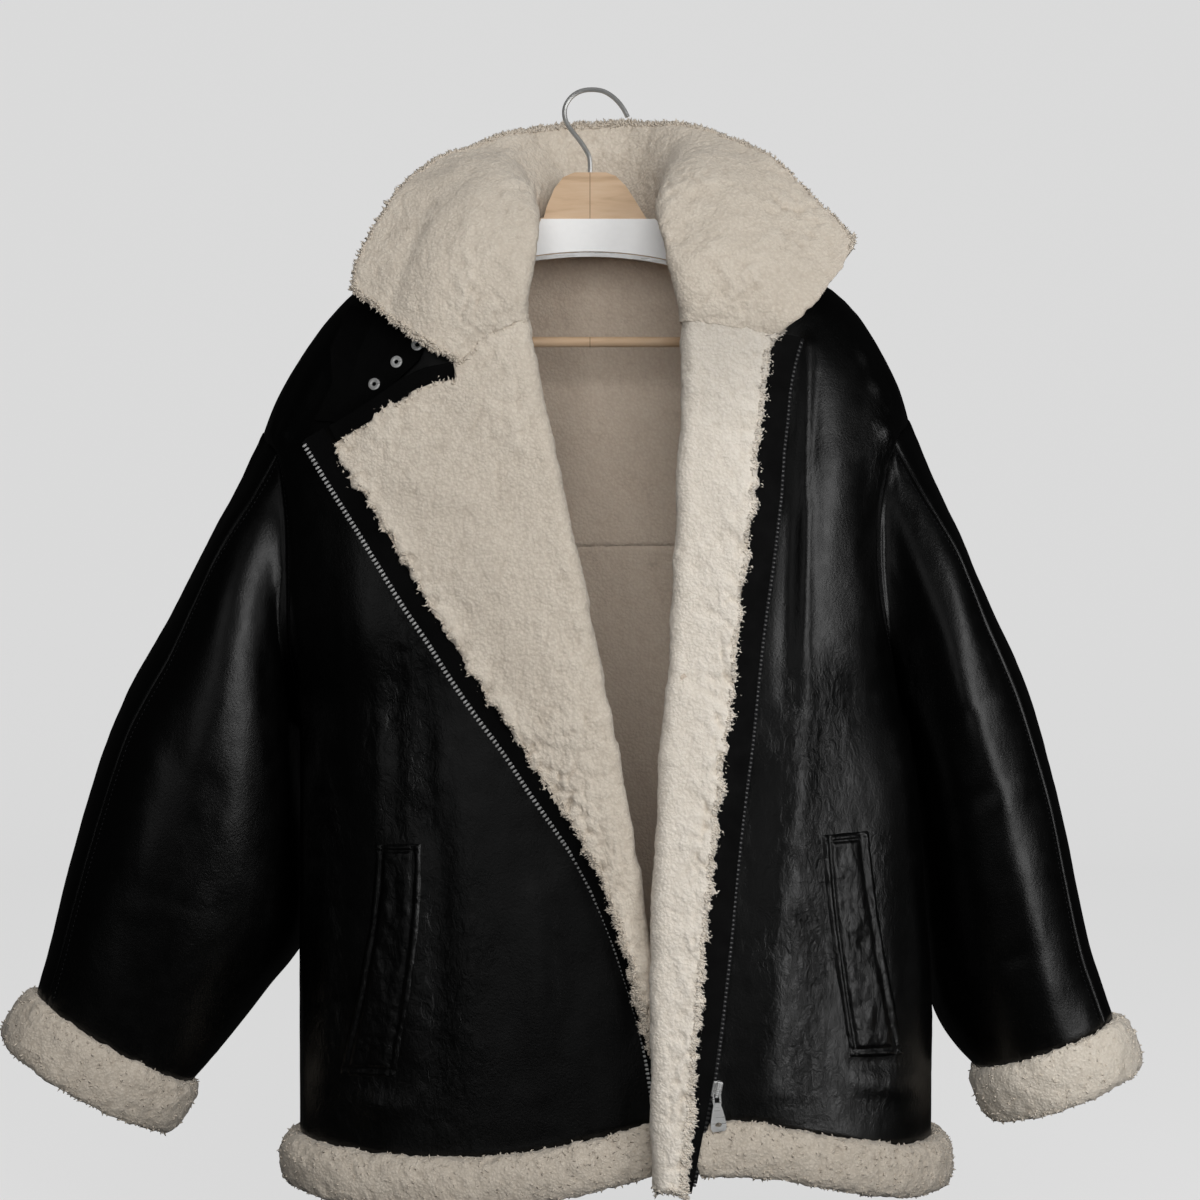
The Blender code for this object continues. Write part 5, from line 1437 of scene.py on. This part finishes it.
def finish_node(name, made):
    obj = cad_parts[name]
    for slot in obj.material_slots:
        slot.material = made
    if not obj.material_slots:
        obj.data.materials.append(made)


def beech_material():
    m = Nodes("beech")
    rings = m.noise(9, 4, 0.55, 0.8, m.stretched((1.4, 8, 8)))
    flecks = m.noise(120, 3, 0.6, 0.2, m.stretched((0.35, 3, 3)))
    colour = m.ramp(m.maths("ADD", m.maths("MULTIPLY", rings, 0.75), m.maths("MULTIPLY", flecks, 0.25)), [(0.3, (0.44, 0.285, 0.165)), (0.5, (0.62, 0.435, 0.28)), (0.72, (0.70, 0.52, 0.36))])
    across = m.add("ShaderNodeSeparateXYZ")
    m.link(m.where, across, "Vector")
    joint = m.maths("LESS_THAN", m.maths("ABSOLUTE", m.maths("ADD", across.outputs["X"], 0.0016), 0.0), 0.00035)
    colour = m.mixed(joint, colour, (0.30, 0.19, 0.11))
    return m.done(colour, m.spread(flecks, 0.3, 0.7, 0.42, 0.55), m.bump(flecks, 0.12, 0.0004), Specular_IOR_Level=0.4, Coat_Weight=0.15, Coat_Roughness=0.25)


def white_material():
    m = Nodes("band_white")
    cloud = m.noise(220, 3, 0.6)
    return m.done(m.mixed(m.spread(cloud, 0.3, 0.7, 0, 1), (0.97, 0.97, 0.965), (0.945, 0.945, 0.94)), m.spread(cloud, 0.3, 0.7, 0.42, 0.5), m.bump(cloud, 0.06, 0.0003))


BEECH_WOOD = beech_material()
for name in ("hanger_body", "hanger_bar"):
    finish_node(name, BEECH_WOOD)
finish_node("hanger_band", white_material())
finish_node("hanger_hook", CHROME)
# the strip along the hanger's lower edge is a painted highlight
finish_node("hanger_strip", EDGE_HIGHLIGHT_METAL)
for name in ("zip_slider", "zip_pull"):
    finish_node(name, ZIP_METAL)
for name in ("eyelet_1", "eyelet_2", "eyelet_3"):
    finish_node(name, ZIP_METAL)
for name in ("edge_strip_right", "edge_strip_left", "lapel_top_strip", "throat_tab"):
    finish_node(name, MATT)


# ---- cloth facts

for name, (obj, area) in shells.items():
    low, high = np.min([v.co for v in obj.data.vertices], axis=0), np.max([v.co for v in obj.data.vertices], axis=0)
    reach = high - low


# ---- floor, light and camera

def plain(name, colour, glow):
    m = Nodes(name)
    cloud = m.noise(3, 2, 0.5)
    tone = m.mixed(m.spread(cloud, 0.3, 0.7, 0, 1), colour, tuple(c * 0.99 for c in colour))
    return m.done(tone, 0.95, None, Specular_IOR_Level=0.0, Emission_Color=(1.0, 1.0, 1.0, 1.0), Emission_Strength=glow)


def sweep_floor():
    """A pale floor that curves up into a plain back wall."""
    profile = [(-3.5, -0.935), (3.2, -0.935)]
    profile += [(3.2 + 0.8 * math.sin(a), -0.935 + 0.8 * (1 - math.cos(a))) for a in np.linspace(0.1, math.pi / 2, 14)]
    profile += [(4.0, 3.2)]
    rows = np.array([[(x * 1000, y * 1000, z * 1000) for x in np.linspace(-5, 5, 9)] for y, z in profile])
    obj = new_mesh("floor", rows.reshape(-1, 3), list(quads(len(profile), 9)), [plain("floor_pale", FLOOR_COLOUR, FLOOR_GLOW)])
    obj.visible_glossy = False
    obj.visible_diffuse = False


FLOOR_COLOUR, FLOOR_GLOW = (0.20, 0.20, 0.20), 0.67
sweep_floor()

world = bpy.data.worlds.new("studio")
bpy.context.scene.world = world
world.use_nodes = True
world.node_tree.nodes["Background"].inputs["Color"].default_value = (1.0, 1.0, 1.0, 1.0)
world.node_tree.nodes["Background"].inputs["Strength"].default_value = 0.012


def softbox(name, at, target, width, height, power, glossy=True):
    data = bpy.data.lights.new(name, "AREA")
    data.shape = "RECTANGLE"
    data.size, data.size_y = width, height
    data.energy = power
    obj = bpy.data.objects.new(name, data)
    bpy.context.scene.collection.objects.link(obj)
    aim = np.array(target) - np.array(at)
    yaw = math.atan2(aim[0], aim[1])
    pitch = math.atan2(aim[2], np.hypot(aim[0], aim[1]))
    obj.rotation_euler = (math.radians(90) + pitch, 0, -yaw)
    obj.location = at
    obj.visible_glossy = glossy


softbox("key", (1.72, -2.0, -0.3), (0, 0, -0.5), 1.0, 2.1, 24.5)
softbox("side", (-0.85, -2.6, -0.1), (0, 0, -0.45), 1.2, 2.0, 3.4)
softbox("front", (0.15, -3.2, 0.35), (0, 0, -0.45), 2.4, 1.8, 52.5, False)
softbox("top", (0.0, -0.9, 1.7), (0, 0, -0.3), 1.8, 1.2, 11, False)

bpy.context.scene.view_settings.view_transform = "Standard"

camera_data = bpy.data.cameras.new("camera")
camera_data.lens = 82.5
camera_data.sensor_width = 36
camera_data.clip_end = 50
camera = bpy.data.objects.new("camera", camera_data)
camera.location = (0.0064, -2.2, -0.4064)
camera.rotation_euler = (math.radians(90), 0, 0)
bpy.context.scene.collection.objects.link(camera)
bpy.context.scene.camera = camera
